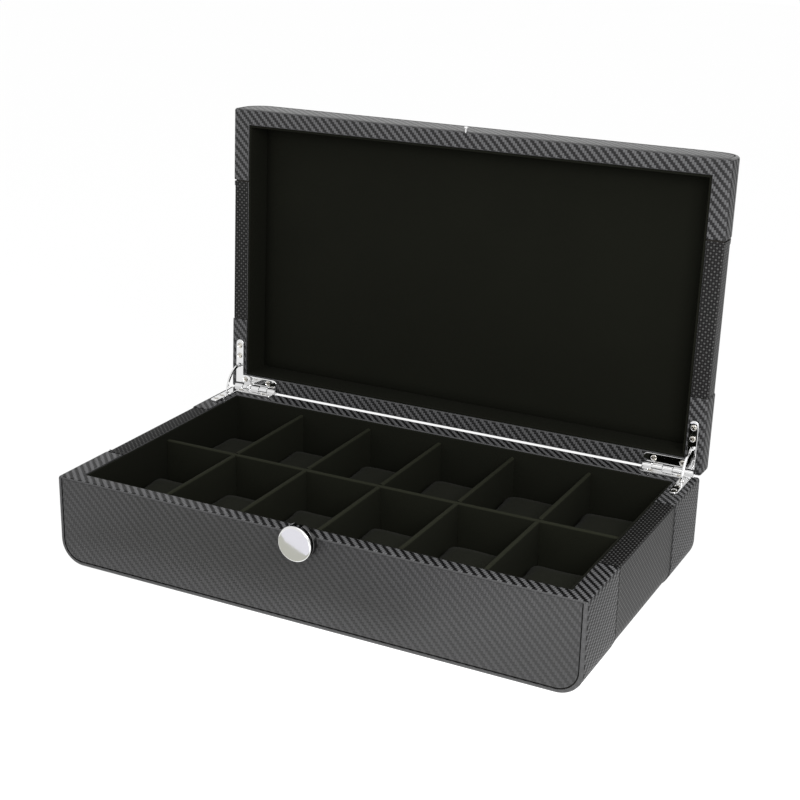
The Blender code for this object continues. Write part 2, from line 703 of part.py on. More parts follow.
def build_base():
    rims = (BASE_RIM_SIDE, BASE_RIM_FRONT, BASE_RIM_REAR)
    shell = Shell(base_section, 0, rims, (RIM - CORNER_RADIUS, RIM + CORNER_RADIUS))
    rear = end_wrap(shell, False)
    boards = base_boards()
    seated = [rear, boards["base_left_board"], boards["base_right_board"], boards["base_rear_board"]]
    for part in seated:
        from_axis(part)
    seat_hinges(seated, -1)
    for part in seated:
        to_axis(part)
    panel = front_panel(shell)
    for part in (panel, boards["base_front_board"]):
        cut(part, prism("bush_hole", circle((0, STEM_Z), BUSH_HOLE, 20), "Y", -DEPTH, 0))
    finish(end_wrap(shell, True), "base_front_wrap", **CARBON)
    finish(middle_wrap(shell), "base_middle_wrap", **WOVEN)
    finish(rear, "base_rear_wrap", **CARBON)
    finish(panel, "base_front_panel", **CARBON)
    for name, board in boards.items():
        finish(board, name, **BOARD)
    reach = WIDTH / 2 - CORNER_RADIUS
    felt = box("felt", (-reach, -BACK + FELT_INSET, 0), (reach, BACK - FELT_INSET, FELT))
    finish(felt, "base_felt", **SUEDE)
    wall, floor = base_linings()
    finish(wall, "base_wall_lining", **SUEDE)
    finish(floor, "base_floor_lining", **SUEDE)
    long_divider, crosses = dividers()
    finish(long_divider, "long_divider", **SUEDE)
    for number, cross in enumerate(crosses, 1):
        finish(cross, f"cross_divider_{number}", **SUEDE)
    for name, cushion in cushions().items():
        finish(cushion, name, **SUEDE)


def build_lid():
    hang = pivot("lid_axis", -OPEN_ANGLE)
    rims = (LID_RIM_SIDE, LID_RIM_FRONT, LID_RIM_REAR)
    shell = Shell(lid_section, BACK, rims, (0, LID_CEILING))
    rear = end_wrap(shell, False)
    frame, top = lid_boards(shell)
    seat_hinges([rear, frame], 1)
    front, panel = end_wrap(shell, True), front_panel(shell)
    for part in (front, panel, frame):
        hole = circle((0, STUD_Z - AXIS_Z), STUD_NECK + GAP, 16)
        cut(part, prism("stud_hole", hole, "Y", shell.front - WRAP, shell.front + STUD_ROOT + GAP))
    finish(front, "lid_front_wrap", parent=hang, **CARBON)
    finish(middle_wrap(shell), "lid_middle_wrap", parent=hang, **WOVEN)
    finish(rear, "lid_rear_wrap", parent=hang, **CARBON)
    finish(panel, "lid_front_panel", parent=hang, **CARBON)
    finish(frame, "lid_frame", parent=hang, **BOARD)
    finish(top, "lid_top_board", parent=hang, **BOARD)
    wall, pad = lid_linings(shell)
    finish(wall, "lid_wall_lining", parent=hang, **SUEDE)
    finish(pad, "lid_pad", parent=hang, **SUEDE)
    finish(smooth(lid_stud(shell)), "lid_stud", parent=hang, **CHROME)
    return hang


def build_hinges(lid_hang):
    base_hang = pivot("base_hinge_axis")
    for side, word in ((-1, "left"), (1, "right")):
        for up, owner, hang in ((-1, "base", base_hang), (1, "lid", lid_hang)):
            leaf = smooth(hinge_leaf(side, up))
            finish(leaf, f"{owner}_hinge_leaf_{word}", parent=hang, **CHROME)
            places = screw_places(side)
            for number, place in enumerate((places[0], places[3]), 1):
                fixing = smooth(screw(place, up))
                finish(fixing, f"{owner}_hinge_screw_{word}_{number}", parent=hang, **CHROME)
        ends = sorted((side * BARREL_END, side * (BARREL_END - BARREL_LENGTH)))
        pin = smooth(prism("pin", circle((0, 0), PIN_RADIUS, 16), "X", *ends))
        finish(pin, f"hinge_pin_{word}", parent=base_hang, **STEEL)
        finish(smooth(stay(side)), f"stay_{word}", parent=pivot(f"stay_axis_{word}"), **CHROME)


def build_catch():
    finish(smooth(button_housing()), "button_housing", **CHROME)
    finish(smooth(push_button()), "push_button", **CHROME)
    finish(stem_clip(), "stem_clip", **STEEL)
    finish(smooth(return_spring()), "return_spring", **STEEL)


def main():
    clear_scene()
    build_base()
    build_hinges(build_lid())
    build_catch()


main()
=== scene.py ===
"""Looks of the watch storage box: leatherette, suede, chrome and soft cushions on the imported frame.

Shapes are built in millimetres. The base is placed as it stands; lid pieces are built shut,
relative to the hinge axis, and then turned open with the lid hinge's angle.
"""

import json
import math
import random

import bmesh
import bpy
from mathutils import Matrix, Vector, noise


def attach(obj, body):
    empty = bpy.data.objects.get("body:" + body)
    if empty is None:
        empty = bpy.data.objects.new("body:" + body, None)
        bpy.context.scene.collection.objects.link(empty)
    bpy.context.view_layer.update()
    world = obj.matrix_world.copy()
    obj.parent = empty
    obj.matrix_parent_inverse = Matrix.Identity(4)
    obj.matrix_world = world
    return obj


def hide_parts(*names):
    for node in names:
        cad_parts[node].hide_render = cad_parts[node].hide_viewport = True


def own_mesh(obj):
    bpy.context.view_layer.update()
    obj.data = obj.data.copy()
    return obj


MM = 0.001
NEAR = 0.02  # how close a point counts as lying on a plane, in millimetres
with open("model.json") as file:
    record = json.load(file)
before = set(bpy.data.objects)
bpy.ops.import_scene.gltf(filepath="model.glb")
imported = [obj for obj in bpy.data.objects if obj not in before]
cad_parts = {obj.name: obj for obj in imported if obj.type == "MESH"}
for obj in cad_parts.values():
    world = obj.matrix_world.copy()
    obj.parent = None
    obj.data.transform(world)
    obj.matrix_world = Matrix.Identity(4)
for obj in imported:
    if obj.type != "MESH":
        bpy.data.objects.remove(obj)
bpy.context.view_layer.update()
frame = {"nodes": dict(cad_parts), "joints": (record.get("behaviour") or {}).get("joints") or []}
rng = random.Random(7)

# Sizes of the shell, in millimetres; lid heights and depths are relative to the hinge axis
HALF = 176.0
BACK = 100.0
BOTTOM = 1.0
RIM = 59.7
AXIS_Z = 61.25
CORNER = 16.1
LID_RIM = 1.55
LID_TOP = 29.35
LID_CEILING = 24.65
PAD_FACE = 21.55
WRAP = 1.1
BAND_STEP = 0.6
BAND_HALF = 50.0
BAND_FROM = 0.8
BAND_TO = 0.35
STRIP_RISE = 0.32
SEAM_GAP = 0.15
BORDER = 2.6
RIM_BORDER = 1.2
GAP = 0.3
LINING = 1.2
LINING_DROP = 0.6
BASE_OPENING = (162.6, -89.7, 86.9)
LID_OPENING = (163.8, -189.1, -9.2)
FLOOR_LEVEL = 9.9
INNER_HALF = 161.1
INNER_FRONT = -88.2
INNER_REAR = 85.4
INNER_MIDDLE = -1.4
PITCH = 53.7
DIVIDER_LOW = 10.2
DIVIDER_TOP = 54.6
DIVIDER_HALF = 1.5
NOTCH_HALF = 1.8
CROSS_NOTCH_FROM = 32.25
LONG_NOTCH_TO = 32.55
LID_INNER = (162.3, -187.6, -10.7)
CARCASS_FLOOR = 8.4
LID_REAR_ROLL = 0.8

# Cushions: half sizes, height of the middle, rows, and the cloth pass
CUSHION_HALF = (24.65, 35.0, 14.15)
CUSHION_Z = 24.35
CUSHION_ROWS = (("front", -49.6), ("rear", 38.7))
CLOTH_VOXEL = 4.0
CLOTH_CAP = 2.4
CLOTH_SCALE = 0.01
CLOTH_FRAMES = 20

# Hinges, relative to the axis
LEAF = 1.0
LEG_X = 168.6
LEG_HALF = 3.0
LEG_END = -35.0
REAR_LEG_Y = -5.8
BARREL_END = 171.6
BARREL_LENGTH = 34.0
BARREL_RADIUS = 2.2
KNUCKLES = 5
LEAF_FAR = 1.25
STAY_RADIUS = 16.0
STAY_HALF = 1.0
SCREW_SPOTS = ((168.6, -23.0), (168.6, -30.5), (163.6, -5.8), (144.6, -5.8))
HEAD_RADIUS = 1.8

# Catch
KNOB_RADIUS = 11.0
KNOB_Z = 55.79
KNOB_FACE = -107.9
CAP_BACK = -105.5
COLLAR_FRONT = -103.7
STEM_Z = 50.79
STEM_HOLE = 2.7
STUD_Z = 64.1
STUD_HOLE = 1.1

# Weave, and the coarse twist of its fibres
TOW = 1.4625
CHECK = 1.83
FIBRE = 0.29

# Studio: floor, its bright spot (centre and reach), lens, in metres and millimetres
FLOOR_REACH = 4.0
SPOT_CENTRE = (0.12, -0.40)
SPOT_REACH = (0.26, 0.30)
SPOT_GAIN = 1.6
LENS = 71.0073

LID_JOINT = [joint for joint in frame["joints"] if joint["name"] == "lid_hinge"][0]
OPEN = math.radians(max(abs(angle) for angle in LID_JOINT["range_deg"]))


# ---------------------------------------------------------------- mesh helpers

def new_object(name, shape):
    bmesh.ops.recalc_face_normals(shape, faces=shape.faces)
    mesh = bpy.data.meshes.new(name)
    shape.to_mesh(mesh)
    shape.free()
    item = bpy.data.objects.new(name, mesh)
    bpy.context.scene.collection.objects.link(item)
    return item


def rounded_outline(low, high, radii, steps=12):
    """Rectangle with its own radius at each corner: low-low, high-low, high-high, low-high."""
    corners = [(low[0], low[1], 180), (high[0], low[1], 270), (high[0], high[1], 0), (low[0], high[1], 90)]
    points = []
    for (x, y, start), radius in zip(corners, radii):
        if radius <= 0:
            points.append((x, y))
            continue
        cx = x + radius if start in (180, 90) else x - radius
        cy = y + radius if start in (180, 270) else y - radius
        for step in range(steps + 1):
            angle = math.radians(start + 90 * step / steps)
            points.append((cx + radius * math.cos(angle), cy + radius * math.sin(angle)))
    return points


def circle(centre, radius, steps):
    turn = 2 * math.pi / steps
    return [(centre[0] + radius * math.cos(turn * k), centre[1] + radius * math.sin(turn * k))
            for k in range(steps)]


def placed(a, b, along, axis):
    """A point from its place in a section and its level along the section's axis."""
    return {"X": (along, a, b), "Y": (a, along, b), "Z": (a, b, along)}[axis]


def prism(name, outline, axis, low, high):
    """Solid with the same outline from low to high along an axis."""
    shape = bmesh.new()
    rings = [[shape.verts.new(placed(a, b, level, axis)) for a, b in outline] for level in (low, high)]
    shape.faces.new(rings[0])
    shape.faces.new(rings[1][::-1])
    count = len(outline)
    for k in range(count):
        j = (k + 1) % count
        shape.faces.new((rings[0][k], rings[1][k], rings[1][j], rings[0][j]))
    return new_object(name, shape)


def box(name, low, high):
    outline = [(low[0], low[1]), (high[0], low[1]), (high[0], high[1]), (low[0], high[1])]
    return prism(name, outline, "Z", low[2], high[2])


def turned(name, axis, centre, profile, steps):
    """Solid of revolution: profile is a list of (radius, level); a radius of 0 closes an end."""
    shape = bmesh.new()
    rings = []
    for radius, level in profile:
        if radius == 0:
            rings.append([shape.verts.new(placed(centre[0], centre[1], level, axis))])
        else:
            ring = circle(centre, radius, steps)
            rings.append([shape.verts.new(placed(a, b, level, axis)) for a, b in ring])
    for low, high in zip(rings, rings[1:]):
        for k in range(steps):
            j = (k + 1) % steps
            corners = [low[k % len(low)], low[j % len(low)], high[j % len(high)], high[k % len(high)]]
            shape.faces.new(list(dict.fromkeys(corners)))
    for ring in (rings[0], rings[-1]):
        if len(ring) > 1:
            shape.faces.new(ring)
    return new_object(name, shape)


def cut(part, tool):
    """Takes the tool away from the part, and the tool is gone afterwards."""
    modifier = part.modifiers.new("cut", "BOOLEAN")
    modifier.object = tool
    modifier.operation = "DIFFERENCE"
    bake_modifiers(part)
    bpy.data.objects.remove(tool, do_unlink=True)
    return part


def merge(part, *others):
    """Puts other meshes into part's mesh without a Boolean."""
    shape = bmesh.new()
    shape.from_mesh(part.data)
    for other in others:
        shape.from_mesh(other.data)
        bpy.data.objects.remove(other, do_unlink=True)
    shape.to_mesh(part.data)
    shape.free()
    return part


def clean_cage(part):
    """The part's mesh without doubles and without edges inside flat faces."""
    shape = bmesh.new()
    shape.from_mesh(part.data)
    bmesh.ops.remove_doubles(shape, verts=shape.verts, dist=1e-4)
    bmesh.ops.dissolve_limit(shape, angle_limit=math.radians(0.5), verts=shape.verts, edges=shape.edges)
    shape.normal_update()
    return shape


def soften_edges(part, rules, segments=4):
    """Rounds sharp convex edges: rules lists (radius, wanted), and wanted(a, b) looks at an edge's ends."""
    shape = clean_cage(part)
    layer = shape.edges.layers.float.new("bevel_weight_edge")
    widest = max(radius for radius, wanted in rules)
    for edge in shape.edges:
        if len(edge.link_faces) != 2 or edge.calc_face_angle(0) < math.radians(35) or not edge.is_convex:
            continue
        for radius, wanted in rules:
            if wanted(edge.verts[0].co, edge.verts[1].co):
                edge[layer] = radius / widest
                break
    shape.to_mesh(part.data)
    shape.free()
    bevel = part.modifiers.new("round", "BEVEL")
    bevel.limit_method = "WEIGHT"
    bevel.width = widest
    bevel.segments = segments
    bevel.use_clamp_overlap = False
    bake_modifiers(part)
    return part


def bake_modifiers(item):
    bpy.context.view_layer.update()
    seen = item.evaluated_get(bpy.context.evaluated_depsgraph_get())
    mesh = bpy.data.meshes.new_from_object(seen)
    item.modifiers.clear()
    item.data = mesh


def both(test):
    """A rule that holds when both ends of an edge pass the test."""
    return lambda a, b: test(a) and test(b)


def smooth_by_angle(item, degrees=32):
    shape = bmesh.new()
    shape.from_mesh(item.data)
    shape.normal_update()
    for face in shape.faces:
        face.smooth = True
    for edge in shape.edges:
        edge.smooth = len(edge.link_faces) == 2 and edge.calc_face_angle(0) < math.radians(degrees)
    shape.to_mesh(item.data)
    shape.free()


def any_edge(a, b):
    return True


# ---------------------------------------------------------------- placing

def open_matrix():
    hinge = Matrix.Translation((0, BACK * MM, AXIS_Z * MM))
    return hinge @ Matrix.Rotation(-OPEN, 4, "X")


def settle(item, name, body, material, nodes=(), lid=False):
    """Names a piece built in millimetres, gives it its finish, puts it in place and lets it ride."""
    item.name = name
    item.data.name = name
    scaled = Matrix.Scale(MM, 4)
    item.data.transform(open_matrix() @ scaled if lid else scaled)
    item.data.materials.clear()
    item.data.materials.append(material)
    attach(item, body)
    for node in nodes:
        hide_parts(node)
    return item


# ---------------------------------------------------------------- fabric coordinates

def write_uv(item, mapping):
    mesh = item.data
    layer = mesh.uv_layers.get("fabric") or mesh.uv_layers.new(name="fabric")
    for polygon in mesh.polygons:
        n = polygon.normal
        for loop in polygon.loop_indices:
            co = mesh.vertices[mesh.loops[loop].vertex_index].co
            layer.data[loop].uv = mapping(co, n)


def round_section(co, drop, straight):
    """Length from the rim's edge down a side, round the corner and along the bottom or top."""
    x = abs(co.x)
    if drop <= straight:
        return drop
    cx = HALF - CORNER
    if x < cx:
        return straight + CORNER * math.pi / 2 + (cx - x)
    return straight + CORNER * math.atan2(drop - straight, max(x - cx, 1e-6))


def shell_uv(item, shell):
    """Unrolls a covering: across the section, and along the depth, which runs the other way on the lid."""
    sign = -1 if shell.lid else 1
    straight = abs(shell.far - shell.rim) - CORNER

    def mapping(co, n):
        drop = sign * (shell.rim - co.z)
        if abs(n.y) > max(abs(n.x), 0.6) and co.y < shell.front + 4:
            return (co.x, sign * (shell.front - drop))
        if abs(n.y) > 0.8:
            return (co.x, sign * (co.y - drop))
        if sign * n.z > 0.6 and drop < 3:
            return (co.x, sign * co.y)
        side = 1 if co.x > 0 else -1
        if abs(co.x) > shell.opening[0] + 3 or sign * n.z < 0:
            return (side * (HALF + round_section(co, drop, straight)), sign * co.y)
        return (co.x + drop, sign * co.y)
    write_uv(item, mapping)


# ---------------------------------------------------------------- materials

class Graph:
    """A small helper that writes node trees."""

    def __init__(self, name):
        self.material = bpy.data.materials.new(name)
        self.material.use_nodes = True
        self.tree = self.material.node_tree
        self.tree.nodes.clear()
        self.shader = self.add("ShaderNodeBsdfPrincipled")
        self.out = self.add("ShaderNodeOutputMaterial")
        self.link(self.shader.outputs["BSDF"], self.out.inputs["Surface"])

    def add(self, kind, **values):
        node = self.tree.nodes.new(kind)
        for key, value in values.items():
            setattr(node, key, value)
        return node

    def link(self, a, b):
        self.tree.links.new(a, b)

    def put(self, socket, value):
        if isinstance(value, bpy.types.NodeSocket):
            self.link(value, socket)
        else:
            socket.default_value = value

    def math(self, operation, a, b=0.0, c=0.0):
        node = self.add("ShaderNodeMath", operation=operation)
        for socket, value in zip(node.inputs, (a, b, c)):
            self.put(socket, value)
        return node.outputs[0]

    def mix(self, factor, a, b, kind="FLOAT"):
        """Number, or colour when kind is RGBA, between a and b."""
        node = self.add("ShaderNodeMix", data_type=kind)
        self.put(node.inputs["Factor"], factor)
        self.put(node.inputs["A"], a)
        self.put(node.inputs["B"], b)
        return node.outputs["Result"]

    def mix_colour(self, factor, a, b):
        return self.mix(factor, a, b, "RGBA")

    def weave(self, cell, period, floats):
        """Fabric coordinates, which thread is over, and the crests across and along each square cell."""
        uv = self.add("ShaderNodeUVMap", uv_map="fabric")
        split = self.add("ShaderNodeSeparateXYZ")
        self.link(uv.outputs["UV"], split.inputs["Vector"])
        u, v = split.outputs["X"], split.outputs["Y"]
        cells = [self.math("DIVIDE", place, cell) for place in (u, v)]
        steps = self.math("ADD", *[self.math("FLOOR", place) for place in cells])
        over = self.math("LESS_THAN", self.math("FLOORED_MODULO", steps, period), floats)
        across, along = [self.math("SINE", self.math("MULTIPLY", self.math("FRACT", place), math.pi))
                         for place in cells]
        return u, v, over, across, along

    def tinted(self, tone, tint):
        """Grey tone with its channels scaled."""
        colour = self.add("ShaderNodeCombineColor")
        for channel, scale in zip(("Red", "Green", "Blue"), tint):
            self.put(colour.inputs[channel], self.math("MULTIPLY", tone, scale))
        return colour.outputs["Color"]

    def noise(self, scale, detail=3.0, roughness=0.5):
        node = self.add("ShaderNodeTexNoise")
        node.inputs["Scale"].default_value = scale
        node.inputs["Detail"].default_value = detail
        node.inputs["Roughness"].default_value = roughness
        self.link(self.add("ShaderNodeTexCoord").outputs["Object"], node.inputs["Vector"])
        return node.outputs["Fac"]

    def bump(self, height, distance):
        node = self.add("ShaderNodeBump")
        node.inputs["Distance"].default_value = distance
        node.inputs["Strength"].default_value = 1.0
        self.link(height, node.inputs["Height"])
        self.link(node.outputs["Normal"], self.shader.inputs["Normal"])

    def set(self, **values):
        for name, value in values.items():
            self.put(self.shader.inputs[name.replace("_", " ")], value)


def grey(value, tint=(1, 1, 1)):
    return (value * tint[0], value * tint[1], value * tint[2], 1)


def twill(name, light, dark, rough_light, rough_dark, height, specular):
    """Embossed 2/2 twill: each tow floats over two cells."""
    g = Graph(name)
    u, v, over, crest_u, crest_v = g.weave(TOW, 4.0, 1.5)
    crest = g.mix(over, crest_v, crest_u)
    fibre_u = g.math("SINE", g.math("MULTIPLY", u, 2 * math.pi / FIBRE))
    fibre_v = g.math("SINE", g.math("MULTIPLY", v, 2 * math.pi / FIBRE))
    fibre = g.mix(over, fibre_v, fibre_u)
    profile = g.math("POWER", crest, 0.6)
    broad = g.noise(35.0, 2.0)
    # Painted shade: each tow darkens from its crest towards the crevices beside it
    edge = g.math("MULTIPLY_ADD", profile, 0.45, 0.55)
    # The light and dark tows are partly the print and partly painted reflection of the light that one set of
    # tilted tows catches from above; each copy sets its own contrast
    tone = g.mix(over, dark, light)
    tone = g.math("MULTIPLY", tone, edge)
    tone = g.math("MULTIPLY", tone, g.math("MULTIPLY_ADD", broad, 0.3, 0.85))
    roughness = g.mix(over, rough_dark, rough_light)
    lift = g.math("ADD", profile, g.math("MULTIPLY", over, 0.25))
    lift = g.math("MULTIPLY_ADD", fibre, 0.05, lift)
    g.set(Base_Color=g.tinted(tone, (1.0, 1.0, 1.03)), Roughness=roughness)
    g.shader.inputs["Specular IOR Level"].default_value = specular
    g.bump(lift, height * MM)
    return g.material


def check_weave(name, light, dark, rough, height, specular):
    """Fine square weave of the middle bands."""
    g = Graph(name)
    u, v, over, crest_u, crest_v = g.weave(CHECK, 2.0, 0.5)
    dot = g.math("MULTIPLY", crest_u, crest_v)
    crest = g.mix(over, g.math("MULTIPLY", dot, 0.35), dot)
    tone = g.mix(g.math("POWER", crest, 1.6), dark, light)
    g.set(Base_Color=g.tinted(tone, (1.0, 0.99, 0.97)), Roughness=g.mix(crest, rough + 0.1, rough - 0.08))
    g.shader.inputs["Specular IOR Level"].default_value = specular
    g.bump(crest, height * MM)
    return g.material


def suede(name, low, high, tint=(0.94, 1.0, 0.63), height=0.12, sheen=0.0, scale=900.0):
    g = Graph(name)
    fine = g.noise(scale, 4.0, roughness=0.65)
    broad = g.noise(28.0, 3.0)
    blend = g.math("ADD", g.math("MULTIPLY", fine, 0.5), g.math("MULTIPLY", broad, 0.5))
    colour = g.mix_colour(blend, grey(low, tint), grey(high, tint))
    g.set(Base_Color=colour, Roughness=g.mix(fine, 0.85, 1.0))
    g.shader.inputs["Specular IOR Level"].default_value = 0.08
    g.shader.inputs["Sheen Weight"].default_value = sheen
    g.shader.inputs["Sheen Roughness"].default_value = 0.5
    g.bump(fine, height * MM)
    return g.material


def chrome(name, base=0.78, rough=0.06, tint=(1, 1, 1)):
    g = Graph(name)
    fine = g.noise(260.0, 3.0)
    colour = g.mix_colour(g.noise(60.0, 2.0), grey(base * 0.97, tint), grey(base, tint))
    g.set(Base_Color=colour, Metallic=1.0, Roughness=g.mix(fine, rough * 0.7, rough * 1.4))
    g.bump(fine, 0.004 * MM)
    return g.material


def fibreboard(name):
    g = Graph(name)
    fine = g.noise(700.0, 4.0)
    # Near-black, so that board seen through gaps between the coverings reads as shade: painted shade
    colour = g.mix_colour(fine, (0.010, 0.008, 0.006, 1), (0.022, 0.018, 0.014, 1))
    g.set(Base_Color=colour, Roughness=g.mix(fine, 0.8, 0.95))
    g.bump(fine, 0.05 * MM)
    return g.material


# Copies of one carbon leatherette and one woven band that differ by painted light: the rims get bright,
# high-contrast tows as painted reflection of the light from above, and the base rims darker tows as painted
# reflection of the dark lid; the sides and panel get dimmer, low-contrast copies; the border copy is a
# painted highlight on the rounded border and lips
TWILL = twill("carbon_leatherette", 0.102, 0.002, 0.42, 0.34, 0.14, 0.10)
TWILL_LID = twill("carbon_leatherette_lid", 0.088, 0.010, 0.42, 0.36, 0.14, 0.30)
TWILL_SIDE = twill("carbon_leatherette_side", 0.050, 0.003, 0.42, 0.56, 0.17, 0.22)
TWILL_PANEL = twill("carbon_leatherette_panel", 0.030, 0.010, 0.34, 0.42, 0.12, 0.5)
BORDER_HIGHLIGHT_SKIN = twill("carbon_leatherette_border_painted_highlight", 0.044, 0.034, 0.30, 0.34, 0.03, 0.55)
WOVEN = check_weave("woven_leatherette", 0.085, 0.001, 0.46, 0.10, 0.05)
WOVEN_LID = check_weave("woven_leatherette_lid", 0.090, 0.005, 0.46, 0.10, 0.12)
WOVEN_SIDE = check_weave("woven_leatherette_side", 0.060, 0.003, 0.46, 0.12, 0.22)
# Painted sheen: lighter suede for the rounded tops of the dividers, where the light from above falls
DIVIDER_PAINTED_SHEEN = suede("divider_suede_painted_sheen", 0.013, 0.019)
SUEDE = suede("suede_lining", 0.0046, 0.0072)
PAD_SUEDE = suede("pad_suede", 0.0045, 0.0070, height=0.08)
DIVIDER_SUEDE = suede("divider_suede", 0.0062, 0.0105)
CUSHION_SUEDE = suede("cushion_suede", 0.0064, 0.0102, height=0.15, sheen=0.015)
FELT = suede("felt", 0.010, 0.022, (1, 1, 1), 0.3, 0.02, 500.0)
BOARD = fibreboard("fibreboard")
CHROME = chrome("chrome")
SCREW_METAL = chrome("screw_metal", 0.62, 0.16, (1.0, 0.96, 0.88))
STEEL = chrome("steel", 0.55, 0.22)
# Painted shade and reflection: a dark copy of the chrome for the knob's side and back and for the housing
# behind it, which mirror the dark box and lie in its shade
SHADE_CHROME = chrome("chrome_painted_shade", 0.09, 0.16)


def thread_material():
    g = Graph("thread")
    fine = g.noise(2200.0, 2.0)
    g.set(Base_Color=g.mix_colour(fine, grey(0.006), grey(0.022)), Roughness=0.6)
    g.bump(fine, 0.05 * MM)
    return g.material


THREAD = thread_material()


# ---------------------------------------------------------------- wraps

class Shell:
    """One half of the box: the y of its front face and back, its opening, and the heights that bound it."""

    def __init__(self, lid):
        self.lid = lid
        self.shift = -BACK if lid else 0.0
        self.front = self.shift - BACK
        self.back = self.shift + BACK + (LID_REAR_ROLL if lid else 0.0)
        self.opening = LID_OPENING if lid else BASE_OPENING
        self.rim = LID_RIM if lid else RIM
        self.far = LID_TOP if lid else BOTTOM
        self.floor = LID_CEILING if lid else CARCASS_FLOOR
        self.body = "lid" if lid else "base"

    def outline(self, inset, rim_inset, steps=14):
        """The section in x and z, drawn in by an inset everywhere but at the rim, which has its own."""
        radius = CORNER - inset
        if self.lid:
            low, high, radii = self.rim + rim_inset, self.far - inset, (0, 0, radius, radius)
        else:
            low, high, radii = self.far + inset, self.rim - rim_inset, (radius, radius, 0, 0)
        return rounded_outline((-HALF + inset, low), (HALF - inset, high), radii, steps)

    def hole(self):
        half, low, high = self.opening
        levels = (self.rim - 9, self.floor) if self.lid else (self.floor, self.rim + 9)
        return box("hole", (-half, low, levels[0]), (half, high, levels[1]))

    def at_rim(self, point):
        return abs(point.z - self.rim) < NEAR


def end_shell(shell, front):
    """Leatherette skin of the front or rear section, with its opening and, in front, its window."""
    reach = BAND_HALF + SEAM_GAP
    low, high = (shell.front, shell.shift - reach) if front else (shell.shift + reach, shell.back)
    wrap = prism("wrap", shell.outline(0, 0), "Y", low, high)
    inner = (low + WRAP, high + WRAP) if front else (low - WRAP, high - WRAP)
    half, y0, y1 = shell.opening
    cut(wrap, shell.hole())

    end_y = shell.front if front else shell.back
    seam_y = high if front else low
    wall_y = y0 if front else y1

    def outside(point):
        """On the outline rather than on a wall of the opening."""
        above = point.z < shell.floor + NEAR if shell.lid else point.z > shell.floor - NEAR
        return abs(point.x) >= half + NEAR or not above

    def seam(a, b):
        return abs(a.y - seam_y) < NEAR and abs(b.y - seam_y) < NEAR and (outside(a) or outside(b))

    rules = [
        (0.35, both(lambda p: not front and shell.at_rim(p) and abs(p.y - end_y) < NEAR)),
        (1.7, both(lambda p: abs(p.y - end_y) < NEAR)),
        (1.7, both(lambda p: shell.at_rim(p) and abs(abs(p.x) - HALF) < NEAR)),
        (0.8, both(lambda p: shell.at_rim(p) and abs(abs(p.x) - half) < NEAR)),
        (0.8, both(lambda p: shell.at_rim(p) and abs(p.y - wall_y) < NEAR and abs(p.x) < half + 0.1)),
        (1.0, seam),
    ]
    soften_edges(wrap, rules, 5)
    core = prism("core", shell.outline(WRAP, WRAP), "Y", *inner)
    cut(wrap, core)
    if front:
        window = prism("window", shell.outline(BORDER, RIM_BORDER), "Y", low - 2, low + 2 * WRAP)
        cut(wrap, window)
    return wrap


def panel(shell):
    """Stretched panel inside the border, rounded round its face."""
    outline = shell.outline(BORDER + GAP + 0.3, RIM_BORDER + 0.04)
    item = prism("panel", outline, "Y", shell.front + 0.05, shell.front + WRAP)
    soften_edges(item, [(0.55, both(lambda p: abs(p.y - shell.front - 0.05) < NEAR))], 4)
    return item


def sleeve(shell, low, high, inset, core_inset, fold=None):
    """Thin skin round the section from low to high, rounded at the rim and, where it has one, at its fold."""
    level = shell.rim + (inset if shell.lid else -inset)
    half = shell.opening[0]

    def at_level(p):
        return abs(p.z - level) < NEAR

    def at_fold(p):
        return fold is not None and abs(p.y - fold) < NEAR and (abs(p.x) > half + NEAR or at_level(p))

    skin = prism("skin", shell.outline(inset, inset), "Y", low, high)
    cut(skin, shell.hole())
    rules = [(0.28, both(at_fold)),
             (0.7, both(lambda p: at_level(p) and abs(abs(p.x) - half) < NEAR)),
             (1.2, both(lambda p: at_level(p) and abs(abs(p.x) - HALF + inset) < NEAR))]
    soften_edges(skin, rules, 4)
    return cut(skin, prism("core", shell.outline(core_inset, core_inset), "Y", low - WRAP, high + WRAP))


def band(shell):
    """Recessed woven skin of the middle section."""
    low, high = shell.shift - BAND_HALF + BAND_FROM, shell.shift + BAND_HALF - BAND_TO
    return sleeve(shell, low, high, BAND_STEP, WRAP)


def edging(shell, near, width):
    """Folded strip of leatherette over the band beside a seam, from near towards the middle."""
    return sleeve(shell, near, near + width, BAND_STEP - STRIP_RISE, BAND_STEP + 0.2, near + width)


def section_path(shell, inset, step):
    """Points at equal steps along the section, rim to rim round the outside, and their directions."""
    half = shell.opening[0] + 0.9
    level = shell.rim + inset * (1 if shell.lid else -1)
    ring = shell.outline(inset, inset, 20)
    corner = [k for k, (x, z) in enumerate(ring) if abs(z - level) < 1e-6]
    right = max(corner, key=lambda k: ring[k][0])
    left = min(corner, key=lambda k: ring[k][0])
    count = len(ring)
    walk = [ring[right]]
    k = right
    direction = 1 if abs(ring[(right + 1) % count][1] - level) > 1e-6 else -1
    while k != left:
        k = (k + direction) % count
        walk.append(ring[k])
    walk = [(half, level)] + walk + [(-half, level)]
    points, carry = [], 0.0
    for (x0, z0), (x1, z1) in zip(walk, walk[1:]):
        length = math.hypot(x1 - x0, z1 - z0)
        if length < 1e-6:
            continue
        dx, dz = (x1 - x0) / length, (z1 - z0) / length
        at = carry
        while at < length:
            points.append((Vector((x0 + dx * at, 0, z0 + dz * at)), Vector((dx, 0, dz))))
            at += step
        carry = at - length
    return points


